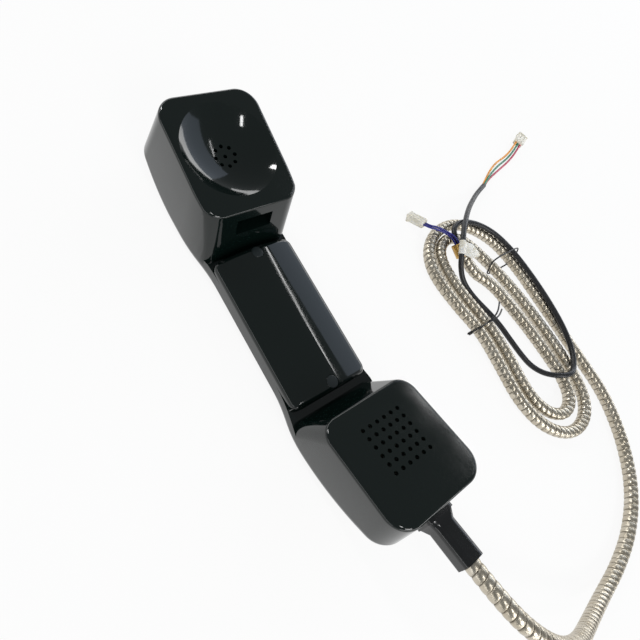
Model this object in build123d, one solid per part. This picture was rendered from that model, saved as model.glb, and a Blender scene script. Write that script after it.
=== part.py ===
# Telephone handset with square ear and mouth caps, a hollow moulded handle and an
# armoured cord that lies beside it in a tied hank. Millimetres, +Z up. The handset
# rests on its back on the table, which is Z = 0, with the ear cap at -X.
from build123d import *
import math
import os

# Handset body
CAP_WIDTH = 51.3            # both cups across, along Y
HANDLE_WIDTH = 44.8
EAR_EDGE_X = -100.5         # outer edge of the ear face
MOUTH_EDGE_X = 103.6        # outer edge of the mouth face
FACE_EDGE_Z = 52.0          # height of both outer edges above the table
EAR_FACE_LENGTH = 58.4
EAR_FACE_TILT = 10.2        # each face falls towards the handle, degrees
MOUTH_FACE_LENGTH = 51.2
MOUTH_FACE_TILT = 17.2
EAR_END_LEAN = 14.0         # end walls lean outwards going down, degrees
MOUTH_END_LEAN = 17.2
EAR_FOOT_X = -36.2          # foot of the wall between ear cup and handle
EAR_VALLEY_Z = 13.0
MOUTH_FOOT_X = 49.0
MOUTH_VALLEY_Z = 12.5
CROWN_START_X = -34.8       # ends of the raised grip face
CROWN_END_X = 45.4
CROWN_TOP_Z = 20.9
CROWN_RISE = 4.2
BACK_EAR_X = -66.5          # where the flat back starts to rise to each end
BACK_EAR_RADIUS = 72.0
BACK_MOUTH_X = 50.0
BACK_MOUTH_RADIUS = 85.0
WAIST_EAR_OUT = -60.0       # the waist runs from cup width to handle width
WAIST_EAR_IN = -24.0
WAIST_MOUTH_IN = 30.0
WAIST_MOUTH_OUT = 62.0
END_CORNER = 10.5
EAR_INNER_CORNER = 9.0
MOUTH_INNER_CORNER = 8.0
BACK_ROUND = 8.0
CROWN_ROUND = 3.0
CROWN_CORNER = 4.5
WALL = 2.6
RIM = 3.4                   # thickness of each cap's plate at its rim
RIM_ROUND = 1.9
CLEAR = 0.15                # fitting clearance per side
SPIGOT_WALL = 1.6           # ring under each cap that plugs into its cup
SPIGOT_DEPTH = 4.0
SEAL_WIDTH = 1.4
SEAL_DEPTH = 1.0

# Ear cap and receiver
DISH_SHIFT = -0.5           # dish centre from the middle of the ear face
DISH_RADIUS = 23.2
DISH_DEPTH = 7.5
DISH_WALL = 2.2
SOUND_HOLE = 1.9            # diameter, both caps
EAR_RING_RADIUS = 5.1
EAR_RING_COUNT = 8
RECEIVER_RADIUS = 17.2
RECEIVER_FRONT = 12.2       # depth of the capsule's front below the ear face
RECEIVER_THICK = 9.0
SOCKET_WALL = 1.8
SOCKET_SHORT = 1.0          # the capsule stands this far out of its socket
RECEIVER_GASKET_BORE = 12.0
MEMBRANE_THICK = 0.4
RETAINER_THICK = 2.0
RETAINER_WIDTH = 8.0
BOSS_RADIUS = 2.5
RECEIVER_BOSS = (19.0, 17.5)

# Mouth cap and microphone
GRID_SHIFT = -4.5           # hole grid centre from the middle of the mouth face
GRID_PITCH = 4.09
GRID_COUNT = 6
MICROPHONE_RADIUS = 15.5
MICROPHONE_THICK = 9.0
MICROPHONE_GASKET = 1.5
MICROPHONE_GASKET_BORE = 12.5
MICROPHONE_BOSS = 18.5      # boss distance from the grid centre, along Y
SMALL_SHANK = 2.0           # self-tapping screws inside, diameters
SMALL_HEAD = 4.2
SMALL_HEAD_HIGH = 1.5
SMALL_BITE = 5.0

# Screws that hold the caps from inside the grip, under flush plugs
EAR_SCREW_X = -30.9
MOUTH_SCREW_X = 41.5
PLUG_RADIUS = 3.2
CAP_SCREW_HEAD = 5.2
CAP_SCREW_HEAD_HIGH = 2.0
CAP_SCREW_SHANK = 2.6
CAP_SCREW_SEAT = 15.4       # height of the head's seat
CAP_SCREW_TIP = 5.6
COLUMN_RADIUS = 4.9
LUG_TOP = 9.6
LUG_THICK = 2.8
LUG_HALF = 6.0
EAR_LEG_X = -54.2
MOUTH_LEG_X = 59.5
LEG_THICK = 2.4
LUG_REACH = 4.0             # lug beyond its screw

# Slot in the ear cup's inner wall for the hook of the telephone
SLOT_WIDTH = 19.5
SLOT_LOW = 27.8
SLOT_HIGH = 36.0
SLOT_END_X = -49.0
SLOT_WALL = 1.6

# Weight in the handle
WEIGHT_START_X = -19.0
WEIGHT_LENGTH = 48.0
WEIGHT_WIDTH = 24.0
WEIGHT_HIGH = 6.0
PAD_THICK = 0.5

# Cord entry on the mouth end wall
CORD_DROP = 15.5            # distance down the wall from the outer edge
CONDUIT = 7.4               # armoured hose, outside diameter
BOOT_FLANGE = 14.5
BOOT_FLANGE_THICK = 2.0
BOOT_TAPER = 3.5
BOOT_BODY = 10.5
BOOT_LENGTH = 21.5
BOOT_CORNER = 3.0
NECK_RADIUS = 5.6
INNER_FLANGE = 13.2
INNER_FLANGE_THICK = 2.0
ANCHOR_WIDTH = 24.0
ANCHOR_HIGH = 16.0
ANCHOR_THICK = 2.0
ANCHOR_SCREW_Y = 9.5
STOP_RADIUS = 5.2
STOP_LENGTH = 4.0
ENTRY_SPARE = 1.0           # hose end beyond the stop
LANYARD = 1.4
EYELET_RADIUS = 3.2
EYELET_THICK = 1.0
LANYARD_POST = (66.0, -13.0)
LANYARD_POST_TOP = 9.0
LEAD = 1.2

# Cord on the table
HANK_LIFT = 1.0             # the ties pass under the hank
CABLE = 3.4
WIRE = 1.5
BLUE_WIRE = 1.3
BLUE_PITCH = 2.0
BLUE_HOUSING_WIDTH = 6.0
WIRE_HOUSING_LENGTH = 12.0
WIRE_HOUSING_WIDTH = 8.4
WIRE_HOUSING_HIGH = 5.0
TAG_SLEEVE = 7.0
TAG_THICK = 0.8
TAG_SLOPE = -17.0           # the flag falls towards the hank, degrees
FERRULE_RADIUS = 4.5
FERRULE_LENGTH = 9.0
FERRULE_LIP = 1.0
TIE = 1.0

BLOCK = 62.0                # half size of the blocks that trim the body
SLAB = 34.0                 # half size of the slabs that trim one cap
BELOW = -10.0


def polar(x, z, angle, distance):
    """Point in the XZ plane at an angle and a distance from another."""
    turn = math.radians(angle)
    return (x + distance * math.cos(turn), z + distance * math.sin(turn))


EAR_IN_X, EAR_IN_Z = polar(EAR_EDGE_X, FACE_EDGE_Z, -EAR_FACE_TILT, EAR_FACE_LENGTH)
MOUTH_IN_X, MOUTH_IN_Z = polar(MOUTH_EDGE_X, FACE_EDGE_Z,
                               180 + MOUTH_FACE_TILT, MOUTH_FACE_LENGTH)


def face_plane(edge_x, tilt, length, side):
    """Plane on a cap face: origin at its middle, X along the handset, Z outwards."""
    turn = math.radians(tilt)
    centre_x = edge_x - side * length / 2 * math.cos(turn)
    return Plane(
        origin=(centre_x, 0, FACE_EDGE_Z - length / 2 * math.sin(turn)),
        x_dir=(math.cos(turn), 0, side * math.sin(turn)),
        z_dir=(-side * math.sin(turn), 0, math.cos(turn)),
    )


EAR = face_plane(EAR_EDGE_X, EAR_FACE_TILT, EAR_FACE_LENGTH, -1)
MOUTH = face_plane(MOUTH_EDGE_X, MOUTH_FACE_TILT, MOUTH_FACE_LENGTH, 1)

END_TURN = math.radians(MOUTH_END_LEAN)
ENTRY = Plane(
    origin=(MOUTH_EDGE_X + CORD_DROP * math.sin(END_TURN), 0,
            FACE_EDGE_Z - CORD_DROP * math.cos(END_TURN)),
    x_dir=(0, 1, 0),
    z_dir=(math.cos(END_TURN), 0, math.sin(END_TURN)),
)


def side_block(inset):
    """Side outline of the body, extruded across the width."""
    drop = FACE_EDGE_Z - BELOW
    outline = Polyline(
        (EAR_EDGE_X - drop * math.tan(math.radians(EAR_END_LEAN)), BELOW),
        (EAR_EDGE_X, FACE_EDGE_Z),
        (EAR_IN_X, EAR_IN_Z),
        (EAR_FOOT_X, EAR_VALLEY_Z),
        (MOUTH_FOOT_X, MOUTH_VALLEY_Z),
        (MOUTH_IN_X, MOUTH_IN_Z),
        (MOUTH_EDGE_X, FACE_EDGE_Z),
        (MOUTH_EDGE_X + drop * math.tan(END_TURN), BELOW),
        close=True,
    )
    outline_face = make_face(Plane.XZ * outline)
    if inset:
        outline_face = offset(outline_face, -inset, kind=Kind.INTERSECTION)
    return extrude(outline_face, BLOCK, both=True)


def back_block(inset):
    """Everything above the back, which is flat in the middle and rises to both ends."""
    ear_arc = CenterArc((BACK_EAR_X, BACK_EAR_RADIUS), BACK_EAR_RADIUS - inset, 200, 70)
    mouth_arc = CenterArc((BACK_MOUTH_X, BACK_MOUTH_RADIUS), BACK_MOUTH_RADIUS - inset, 270, 70)
    top = FACE_EDGE_Z + BLOCK
    outline = Curve() + [
        ear_arc,
        Line(ear_arc @ 1, mouth_arc @ 0),
        mouth_arc,
        Polyline(mouth_arc @ 1, ((mouth_arc @ 1).X, top), ((ear_arc @ 0).X, top), ear_arc @ 0),
    ]
    return extrude(make_face(Plane.XZ * outline), BLOCK, both=True)


def plan_block(inset):
    """Outline from above: cup width at both ends, drawn in to the waist by tangent arcs."""
    cup = CAP_WIDTH / 2 - inset
    waist = HANDLE_WIDTH / 2 - inset
    step = cup - waist
    middle = (cup + waist) / 2
    ear_run = (WAIST_EAR_IN - WAIST_EAR_OUT) / 2
    mouth_run = (WAIST_MOUTH_OUT - WAIST_MOUTH_IN) / 2
    ear_radius = (ear_run**2 + step**2 / 4) / step
    mouth_radius = (mouth_run**2 + step**2 / 4) / step
    reach = 2 * BLOCK
    half = Curve() + [
        Line((-reach, cup), (WAIST_EAR_OUT, cup)),
        RadiusArc((WAIST_EAR_OUT, cup), (WAIST_EAR_OUT + ear_run, middle), ear_radius),
        RadiusArc((WAIST_EAR_OUT + ear_run, middle), (WAIST_EAR_IN, waist), -ear_radius),
        Line((WAIST_EAR_IN, waist), (WAIST_MOUTH_IN, waist)),
        RadiusArc((WAIST_MOUTH_IN, waist), (WAIST_MOUTH_IN + mouth_run, middle), -mouth_radius),
        RadiusArc((WAIST_MOUTH_IN + mouth_run, middle), (WAIST_MOUTH_OUT, cup), mouth_radius),
        Polyline((WAIST_MOUTH_OUT, cup), (reach, cup), (reach, 0), (-reach, 0), (-reach, cup)),
    ]
    sheet = make_face(half)
    return extrude(sheet + mirror(sheet, Plane.XZ), 2 * BLOCK, both=True)


def between(value, low, high):
    return low < value < high


def upright_edges(body, x_low, x_high, z_low, z_high):
    """Edges that run up the body's sides within a range of X and Z."""
    return body.edges().filter_by(
        lambda edge: between(edge.center().X, x_low, x_high)
        and between(edge.center().Z, z_low, z_high)
        and abs(edge.center().Y) > HANDLE_WIDTH / 2 - 3
        and abs((edge % 0.5).Z) > 0.5
    )


def back_edges(body):
    """Closed chain round the back, where it meets the walls."""
    back = [
        face for face in body.faces()
        if face.center().Z < FACE_EDGE_Z / 3 and face.normal_at().Z < -0.5
    ]
    chain = []
    for face in back:
        for edge in face.edges():
            shared = [other for other in back if other is not face
                      and any((edge @ 0.5 - twin @ 0.5).length < 0.001 for twin in other.edges())]
            if not shared:
                chain.append(edge)
    return chain


def corner_tool(top_x, top_z, foot_x, foot_z, radius, inset):
    """What rounds the two corners of a cup beside the grip, above the valley."""
    run = math.hypot(foot_x - top_x, top_z - foot_z)
    along = ((top_x - foot_x) / run, 0, (top_z - foot_z) / run)
    out = (along[2], 0, -along[0]) if foot_x < 0 else (-along[2], 0, along[0])
    half = CAP_WIDTH / 2 - inset
    bore = radius - inset
    spare = radius
    cap = Rectangle(bore + spare, bore + spare, align=(Align.MIN, Align.MIN)) - Circle(bore)
    tools = Part()
    for side in (1, -1):
        plane = Plane(origin=(foot_x, 0, foot_z), x_dir=out, z_dir=along)
        flip = side if plane.y_dir.Y > 0 else -side
        sketch = Pos(-bore - inset, flip * (half - bore)) * (cap if flip > 0 else mirror(cap, Plane.XZ))
        tools += extrude(plane * sketch, run + spare)
    return tools


def body_block(inset):
    """The outside of the handset below its grip face, or its hollow at a distance inside."""
    body = (side_block(inset) & back_block(inset)) & plan_block(inset)
    ends = upright_edges(body, -BLOCK * 2, EAR_EDGE_X + 2, FACE_EDGE_Z / 3, FACE_EDGE_Z)
    ends += upright_edges(body, MOUTH_EDGE_X, BLOCK * 2, FACE_EDGE_Z / 3, FACE_EDGE_Z)
    body = fillet(ends, END_CORNER - inset)
    body = fillet(back_edges(body), BACK_ROUND - inset)
    body -= corner_tool(EAR_IN_X, EAR_IN_Z, EAR_FOOT_X, EAR_VALLEY_Z, EAR_INNER_CORNER, inset)
    body -= corner_tool(MOUTH_IN_X, MOUTH_IN_Z, MOUTH_FOOT_X, MOUTH_VALLEY_Z,
                        MOUTH_INNER_CORNER, inset)
    return body


def crown_block(inset):
    """Raised grip face between the cups, arched across its width and rounded all round."""
    half = HANDLE_WIDTH / 2 - inset
    edge_z = CROWN_TOP_Z - CROWN_RISE - inset
    base_z = EAR_VALLEY_Z / 2
    section = Curve() + [
        ThreePointArc((-half, edge_z), (0, CROWN_TOP_Z - inset), (half, edge_z)),
        Polyline((half, edge_z), (half, base_z), (-half, base_z), (-half, edge_z)),
    ]
    start = Plane(origin=(CROWN_START_X + inset, 0, 0), x_dir=(0, 1, 0), z_dir=(1, 0, 0))
    length = CROWN_END_X - CROWN_START_X - 2 * inset
    crown = extrude(make_face(start * section), length, dir=(1, 0, 0))
    crown = fillet(crown.edges().filter_by(Axis.Z), CROWN_CORNER)
    top = crown.faces().sort_by(Axis.Z)[-1]
    return fillet(top.edges(), CROWN_ROUND - inset / 2)


def slab(plane, low, high):
    """Everything between two depths below one cap face."""
    return plane * Pos(0, 0, (low + high) / 2) * Box(2 * SLAB, 2 * SLAB, high - low)


def slab_above(z):
    """Everything above a height."""
    return Pos(0, 0, z + BLOCK) * Box(4 * BLOCK, 4 * BLOCK, 2 * BLOCK)


def disc(plane, x, y, radius, low, high):
    """Round solid square to a plane, between two depths."""
    return plane * Pos(x, y, (low + high) / 2) * Cylinder(radius, high - low)


def ring(plane, x, y, outer, inner, low, high):
    """Flat ring square to a plane, between two depths."""
    return disc(plane, x, y, outer, low, high) - disc(plane, x, y, inner, low, high)


def block(x_low, x_high, y_half, z_low, z_high):
    """Box given by its limits, centred across the width."""
    centre = Pos((x_low + x_high) / 2, 0, (z_low + z_high) / 2)
    return centre * Box(x_high - x_low, 2 * y_half, z_high - z_low)


def column(x, y, radius, z_low, z_high):
    """Upright round solid."""
    return Pos(x, y, (z_low + z_high) / 2) * Cylinder(radius, z_high - z_low)


OUTSIDE = body_block(0) + crown_block(0)
HOLLOW = body_block(WALL) + crown_block(WALL)
SEAL_OUTER = body_block(WALL - SEAL_WIDTH)
SPIGOT_OUTER = body_block(WALL + CLEAR)
SPIGOT_INNER = body_block(WALL + CLEAR + SPIGOT_WALL)


def slot_pocket(extra):
    """Space of the hook slot, or the moulded box round it."""
    return block(SLOT_END_X - extra, EAR_FOOT_X, SLOT_WIDTH / 2 + extra,
                 SLOT_LOW - extra, SLOT_HIGH + extra)


def cap_seal(plane):
    """Flat ring of rubber let into the rim of a cup, under the cap."""
    return (SEAL_OUTER & slab(plane, -RIM - SEAL_DEPTH, -RIM)) - HOLLOW


def anchor_post(side):
    """Post on the end wall for one screw of the cord anchor."""
    return disc(ENTRY, side * ANCHOR_SCREW_Y, 0, BOSS_RADIUS,
                -WALL - INNER_FLANGE_THICK, -WALL / 2)


def handle_shell():
    shell = OUTSIDE - HOLLOW
    for plane in (EAR, MOUTH):
        shell -= slab(plane, -RIM, RIM)
        shell -= cap_seal(plane)
    shell += (slot_pocket(SLOT_WALL) & OUTSIDE) - slab(EAR, -RIM - SEAL_DEPTH, RIM)
    shell -= slot_pocket(0)
    for x in (EAR_SCREW_X, MOUTH_SCREW_X):
        shell += column(x, 0, COLUMN_RADIUS, LUG_TOP, CROWN_TOP_Z) & OUTSIDE
        shell -= column(x, 0, PLUG_RADIUS, CAP_SCREW_SEAT, CROWN_TOP_Z)
        shell -= column(x, 0, CAP_SCREW_SHANK / 2 + CLEAR, 0, CROWN_TOP_Z) & slab_above(LUG_TOP - 1)
    shell -= disc(ENTRY, 0, 0, NECK_RADIUS, -2 * WALL, WALL)
    for side in (-1, 1):
        shell += anchor_post(side)
        shell -= disc(ENTRY, side * ANCHOR_SCREW_Y, 0, SMALL_SHANK / 2,
                      -WALL - INNER_FLANGE_THICK, SMALL_BITE - WALL - INNER_FLANGE_THICK - ANCHOR_THICK)
    post_x, post_y = LANYARD_POST
    shell += column(post_x, post_y, BOSS_RADIUS, 0, LANYARD_POST_TOP) & OUTSIDE
    bore_low = LANYARD_POST_TOP + EYELET_THICK - SMALL_BITE
    return shell - column(post_x, post_y, SMALL_SHANK / 2, bore_low, LANYARD_POST_TOP)


def cap_body(plane):
    """Cap plate with its rounded rim and the spigot that plugs into the cup."""
    plate = OUTSIDE & slab(plane, -RIM, RIM)
    top = plate.faces().sort_by(Axis(plane.origin, plane.z_dir))[-1]
    plate = fillet(top.edges(), RIM_ROUND)
    bore = Pos(*(plane.z_dir * SPIGOT_WALL)) * SPIGOT_INNER
    spigot = (SPIGOT_OUTER - bore) & slab(plane, -RIM - SPIGOT_DEPTH, -RIM)
    return plate + spigot


def lug(leg_x, screw_x, plane):
    """L-shaped foot under a cap that reaches the screw inside the grip."""
    side = 1 if leg_x < 0 else -1
    tip_x = screw_x + side * LUG_REACH
    leg_end = leg_x + side * LEG_THICK
    leg = block(min(leg_x, leg_end), max(leg_x, leg_end), LUG_HALF, LUG_TOP - LUG_THICK, FACE_EDGE_Z)
    leg -= plane * Pos(0, 0, BLOCK - RIM) * Box(4 * BLOCK, 4 * BLOCK, 2 * BLOCK)
    foot = block(min(leg_x, tip_x), max(leg_x, tip_x), LUG_HALF, LUG_TOP - LUG_THICK, LUG_TOP)
    shank = column(screw_x, 0, CAP_SCREW_SHANK / 2, 0, LUG_TOP + 1)
    return leg + foot - shank


DISH_SPHERE = (DISH_RADIUS**2 + DISH_DEPTH**2) / (2 * DISH_DEPTH)


def dish_ball(extra):
    """Ball whose lower cap is the ear dish, or the underside of its wall."""
    return EAR * Pos(DISH_SHIFT, 0, DISH_SPHERE - DISH_DEPTH) * Sphere(DISH_SPHERE + extra)


def ear_cap():
    cap = cap_body(EAR) + (dish_ball(DISH_WALL) & slab(EAR, -2 * DISH_DEPTH, -RIM))
    socket_low = -RECEIVER_FRONT - RECEIVER_THICK + SOCKET_SHORT
    socket_bore = RECEIVER_RADIUS + CLEAR
    socket = ring(EAR, DISH_SHIFT, 0, socket_bore + SOCKET_WALL, socket_bore, socket_low, -RIM)
    cap += socket - dish_ball(0)
    for side in (-1, 1):
        x, y = (side * value for value in RECEIVER_BOSS)
        cap += disc(EAR, x, y, BOSS_RADIUS, -RECEIVER_FRONT - RECEIVER_THICK, -RIM)
    cap -= dish_ball(0)
    for side in (-1, 1):
        x, y = (side * value for value in RECEIVER_BOSS)
        cap -= disc(EAR, x, y, SMALL_SHANK / 2, -RECEIVER_FRONT - RECEIVER_THICK,
                    -RECEIVER_FRONT - RECEIVER_THICK - RETAINER_THICK + SMALL_BITE)
    cap -= slot_pocket(SLOT_WALL + 2 * CLEAR)
    cap += lug(EAR_LEG_X, EAR_SCREW_X, EAR)
    holes = [(0, 0)]
    for step in range(EAR_RING_COUNT):
        turn = math.radians(360 / EAR_RING_COUNT * step)
        holes.append((EAR_RING_RADIUS * math.cos(turn), EAR_RING_RADIUS * math.sin(turn)))
    for x, y in holes:
        cap -= disc(EAR, DISH_SHIFT + x, y, SOUND_HOLE / 2, -DISH_DEPTH - 2 * DISH_WALL, 0)
    return cap


def mouth_cap():
    cap = cap_body(MOUTH)
    back = -RIM - MEMBRANE_THICK - MICROPHONE_GASKET - MICROPHONE_THICK
    for side in (-1, 1):
        cap += disc(MOUTH, GRID_SHIFT, side * MICROPHONE_BOSS, BOSS_RADIUS, back, -RIM)
        cap -= disc(MOUTH, GRID_SHIFT, side * MICROPHONE_BOSS, SMALL_SHANK / 2,
                    back, back - RETAINER_THICK + SMALL_BITE)
    cap += lug(MOUTH_LEG_X, MOUTH_SCREW_X, MOUTH)
    first = -GRID_PITCH * (GRID_COUNT - 1) / 2
    for column_step in range(GRID_COUNT):
        for row_step in range(GRID_COUNT):
            x = GRID_SHIFT + first + GRID_PITCH * column_step
            cap -= disc(MOUTH, x, first + GRID_PITCH * row_step, SOUND_HOLE / 2, -2 * RIM, RIM)
    return cap


def receiver_gasket():
    """Foam ring squeezed between the dish and the receiver."""
    gasket = ring(EAR, DISH_SHIFT, 0, RECEIVER_RADIUS, RECEIVER_GASKET_BORE,
                  -RECEIVER_FRONT, -RIM)
    return gasket - dish_ball(DISH_WALL)


def receiver_membrane():
    """Dust cloth over the receiver, inside its gasket."""
    return disc(EAR, DISH_SHIFT, 0, RECEIVER_GASKET_BORE - 2 * CLEAR,
                -RECEIVER_FRONT, -RECEIVER_FRONT + MEMBRANE_THICK)


def receiver_capsule():
    """Tin of the receiver, with a stepped front and two terminals at its back."""
    back = -RECEIVER_FRONT - RECEIVER_THICK
    capsule = disc(EAR, DISH_SHIFT, 0, RECEIVER_RADIUS, back, -RECEIVER_FRONT)
    return fillet(capsule.edges().filter_by(GeomType.CIRCLE), RIM_ROUND / 2)


def bar_retainer(plane, x, y, back, turn, centre_x):
    """Bar with round ends across the back of a capsule, held by two screws."""
    length = 2 * math.hypot(x, y)
    outline = SlotCenterToCenter(length, RETAINER_WIDTH)
    low = back - RETAINER_THICK
    bar = plane * Pos(centre_x, 0, low) * Rot(0, 0, turn) * extrude(outline, RETAINER_THICK)
    for side in (-1, 1):
        bar -= disc(plane, centre_x + side * x, side * y, SMALL_SHANK / 2 + CLEAR, low, back)
    return bar


def bar_screws(plane, x, y, back, centre_x):
    """Two self-tapping screws through a retainer bar."""
    seat = back - RETAINER_THICK
    screws = Part()
    for side in (-1, 1):
        place = (centre_x + side * x, side * y)
        screws += disc(plane, *place, SMALL_HEAD / 2, seat - SMALL_HEAD_HIGH, seat)
        screws += disc(plane, *place, SMALL_SHANK / 2, seat, seat + SMALL_BITE)
    return screws


def cap_screw(x):
    """Machine screw with a slotted cheese head that holds one cap by its lug."""
    screw = column(x, 0, CAP_SCREW_HEAD / 2, CAP_SCREW_SEAT, CAP_SCREW_SEAT + CAP_SCREW_HEAD_HIGH)
    screw += column(x, 0, CAP_SCREW_SHANK / 2, CAP_SCREW_TIP, CAP_SCREW_SEAT)
    slot_top = CAP_SCREW_SEAT + CAP_SCREW_HEAD_HIGH
    return screw - block(x - 0.4, x + 0.4, CAP_SCREW_HEAD, slot_top - CAP_SCREW_HEAD_HIGH / 2, slot_top)


def end_plug(x):
    """Flush button that covers a screw."""
    return column(x, 0, PLUG_RADIUS, CAP_SCREW_SEAT + CAP_SCREW_HEAD_HIGH, 2 * CROWN_TOP_Z) & OUTSIDE


def rounded_box(plane, width, high, corner, low, top):
    """Prism with rounded upright edges, square to a plane."""
    return plane * Pos(0, 0, low) * extrude(RectangleRounded(width, high, corner), top - low)


def cord_boot():
    """Rubber strain relief: flange, taper and square sleeve outside, neck and flange inside."""
    flange = rounded_box(ENTRY, BOOT_FLANGE, BOOT_FLANGE, BOOT_CORNER, 0, BOOT_FLANGE_THICK)
    wide_plane = ENTRY.offset(BOOT_FLANGE_THICK)
    wide = wide_plane * RectangleRounded(BOOT_FLANGE - 1, BOOT_FLANGE - 1, BOOT_CORNER)
    narrow_plane = ENTRY.offset(BOOT_FLANGE_THICK + BOOT_TAPER)
    narrow = narrow_plane * RectangleRounded(BOOT_BODY, BOOT_BODY, BOOT_CORNER)
    boot = flange + loft([wide, narrow])
    sleeve_low = BOOT_FLANGE_THICK + BOOT_TAPER
    boot += rounded_box(ENTRY, BOOT_BODY, BOOT_BODY, BOOT_CORNER, sleeve_low, BOOT_LENGTH)
    boot += disc(ENTRY, 0, 0, NECK_RADIUS, -WALL, 0)
    inner_low = -WALL - INNER_FLANGE_THICK
    boot += rounded_box(ENTRY, INNER_FLANGE, INNER_FLANGE, BOOT_CORNER, inner_low, -WALL)
    return boot - disc(ENTRY, 0, 0, CONDUIT / 2, -2 * BOOT_LENGTH, 2 * BOOT_LENGTH)


ANCHOR_BACK = -WALL - INNER_FLANGE_THICK - ANCHOR_THICK


def cord_anchor():
    """Steel plate that clamps the boot's inner flange to the end wall."""
    plate = rounded_box(ENTRY, ANCHOR_WIDTH, ANCHOR_HIGH, BOOT_CORNER,
                        ANCHOR_BACK, -WALL - INNER_FLANGE_THICK)
    plate -= disc(ENTRY, 0, 0, CONDUIT / 2 + CLEAR, -BOOT_LENGTH, 0)
    for side in (-1, 1):
        plate -= disc(ENTRY, side * ANCHOR_SCREW_Y, 0, SMALL_SHANK / 2 + CLEAR, -BOOT_LENGTH, 0)
    return plate


def anchor_screws():
    screws = Part()
    for side in (-1, 1):
        y = side * ANCHOR_SCREW_Y
        screws += disc(ENTRY, y, 0, SMALL_HEAD / 2, ANCHOR_BACK - SMALL_HEAD_HIGH, ANCHOR_BACK)
        screws += disc(ENTRY, y, 0, SMALL_SHANK / 2, ANCHOR_BACK, ANCHOR_BACK + SMALL_BITE)
    return screws


STOP_BACK = ANCHOR_BACK - STOP_LENGTH
ENTRY_BACK = STOP_BACK - ENTRY_SPARE


def corner_radii(points):
    """Each corner's arc: 0.45 of its shorter run, over the tangent of half the turn."""
    radii = []
    for before, corner, after in zip(points, points[1:], points[2:]):
        first = Vector(*corner) - Vector(*before)
        second = Vector(*after) - Vector(*corner)
        half_turn = math.radians(first.get_angle(second)) / 2
        radii.append(0.45 * min(first.length, second.length) / math.tan(half_turn))
    return radii


def tube(name, points, diameter):
    """Round cord along straight runs joined by tangent arcs."""
    radii = corner_radii(points)
    path = FilletPolyline(*points, radius=radii)
    section = Plane(origin=path @ 0, z_dir=path % 0) * Circle(diameter / 2)
    solid = sweep(section, path=path)
    exact = math.pi * diameter**2 / 4 * path.length
    print(name, "length", round(path.length, 1), "volume ratio", round(solid.volume / exact, 4),
          "radii", [round(radius, 1) for radius in radii])
    return solid


def on_entry(distance, across=0, up=0):
    """Point on the cord entry's axis, or beside it."""
    place = ENTRY.origin + ENTRY.z_dir * distance + ENTRY.x_dir * across + ENTRY.y_dir * up
    return (place.X, place.Y, place.Z)


def from_face(plane, x, y, depth):
    """Point below a cap face."""
    place = plane.origin + plane.x_dir * x + plane.y_dir * y - plane.z_dir * depth
    return (place.X, place.Y, place.Z)


RECEIVER_BACK = RECEIVER_FRONT + RECEIVER_THICK
MICROPHONE_FRONT = RIM + MEMBRANE_THICK + MICROPHONE_GASKET
MICROPHONE_BACK = MICROPHONE_FRONT + MICROPHONE_THICK
HANK_Z = HANK_LIFT + CONDUIT / 2

# Leads inside the handset, from the back of each capsule to the end of the hose
RECEIVER_LEAD_ONE = [
    from_face(EAR, -8.5, 8.1, RECEIVER_BACK), from_face(EAR, -8.5, 8.1, RECEIVER_BACK + 7),
    (-77, 11.5, 13.5), (-63, 12.5, 9.5), (-48, 11.6, 7.4), (-33, 10.8, 7.8), (-19, 9.6, 10.8),
    (-3, 9.2, 11.4), (13, 9.8, 11.0), (28, 9.2, 10.8), (42, 9.6, 8.3), (54, 8.8, 8.2),
    (67, 8.2, 11.6), (79, 6.6, 17.0), (86.5, 4.0, 24.0), on_entry(ENTRY_BACK - 6, 1.7, 0.2),
    on_entry(ENTRY_BACK, 1.7, 0.2),
]
RECEIVER_LEAD_TWO = [
    from_face(EAR, 6.5, -8.1, RECEIVER_BACK), from_face(EAR, 6.5, -8.1, RECEIVER_BACK + 6),
    (-68, 3.5, 12.5), (-60, 10.6, 6.6), (-46, 13.4, 5.6), (-33, 13.2, 8.4), (-19, 12.4, 10.6),
    (-3, 11.8, 10.9), (13, 12.3, 10.8), (28, 12.0, 10.2), (42, 12.6, 8.2), (54, 11.6, 8.3),
    (68, 10.8, 11.2), (80, 9.2, 16.6), (88.0, 5.6, 22.8), on_entry(ENTRY_BACK - 6, 1.2, -1.9),
    on_entry(ENTRY_BACK, 1.2, -1.9),
]
MICROPHONE_LEAD_ONE = [
    from_face(MOUTH, -12, -5, MICROPHONE_BACK), from_face(MOUTH, -12, -5, MICROPHONE_BACK + 5),
    (80.5, -4.4, 21.6), (86.5, -3, 26.0), on_entry(ENTRY_BACK - 6, -1.7, 0.2),
    on_entry(ENTRY_BACK, -1.7, 0.2),
]
MICROPHONE_LEAD_TWO = [
    from_face(MOUTH, -11, -9.5, MICROPHONE_BACK), from_face(MOUTH, -11, -9.5, MICROPHONE_BACK + 5),
    (81.5, -8.4, 20.6), (88, -4.6, 24.0), on_entry(ENTRY_BACK - 6, -1.2, -1.9),
    on_entry(ENTRY_BACK, -1.2, -1.9),
]
EYELET_AIM = (0.75, 0.6614)         # plan direction from the eyelet to the cord entry
EYELET_BARREL = 7.0


def eyelet_point(distance):
    """Point along the eyelet's barrel, level with its ring."""
    return (LANYARD_POST[0] + EYELET_AIM[0] * distance, LANYARD_POST[1] + EYELET_AIM[1] * distance,
            LANYARD_POST_TOP + EYELET_THICK / 2)


LANYARD_ROUTE = [
    on_entry(ENTRY_BACK), on_entry(ENTRY_BACK - 6), (87.5, -0.6, 23.5), (82, -1.2, 15.0),
    eyelet_point(EYELET_BARREL + 7), eyelet_point(EYELET_BARREL),
]

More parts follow.
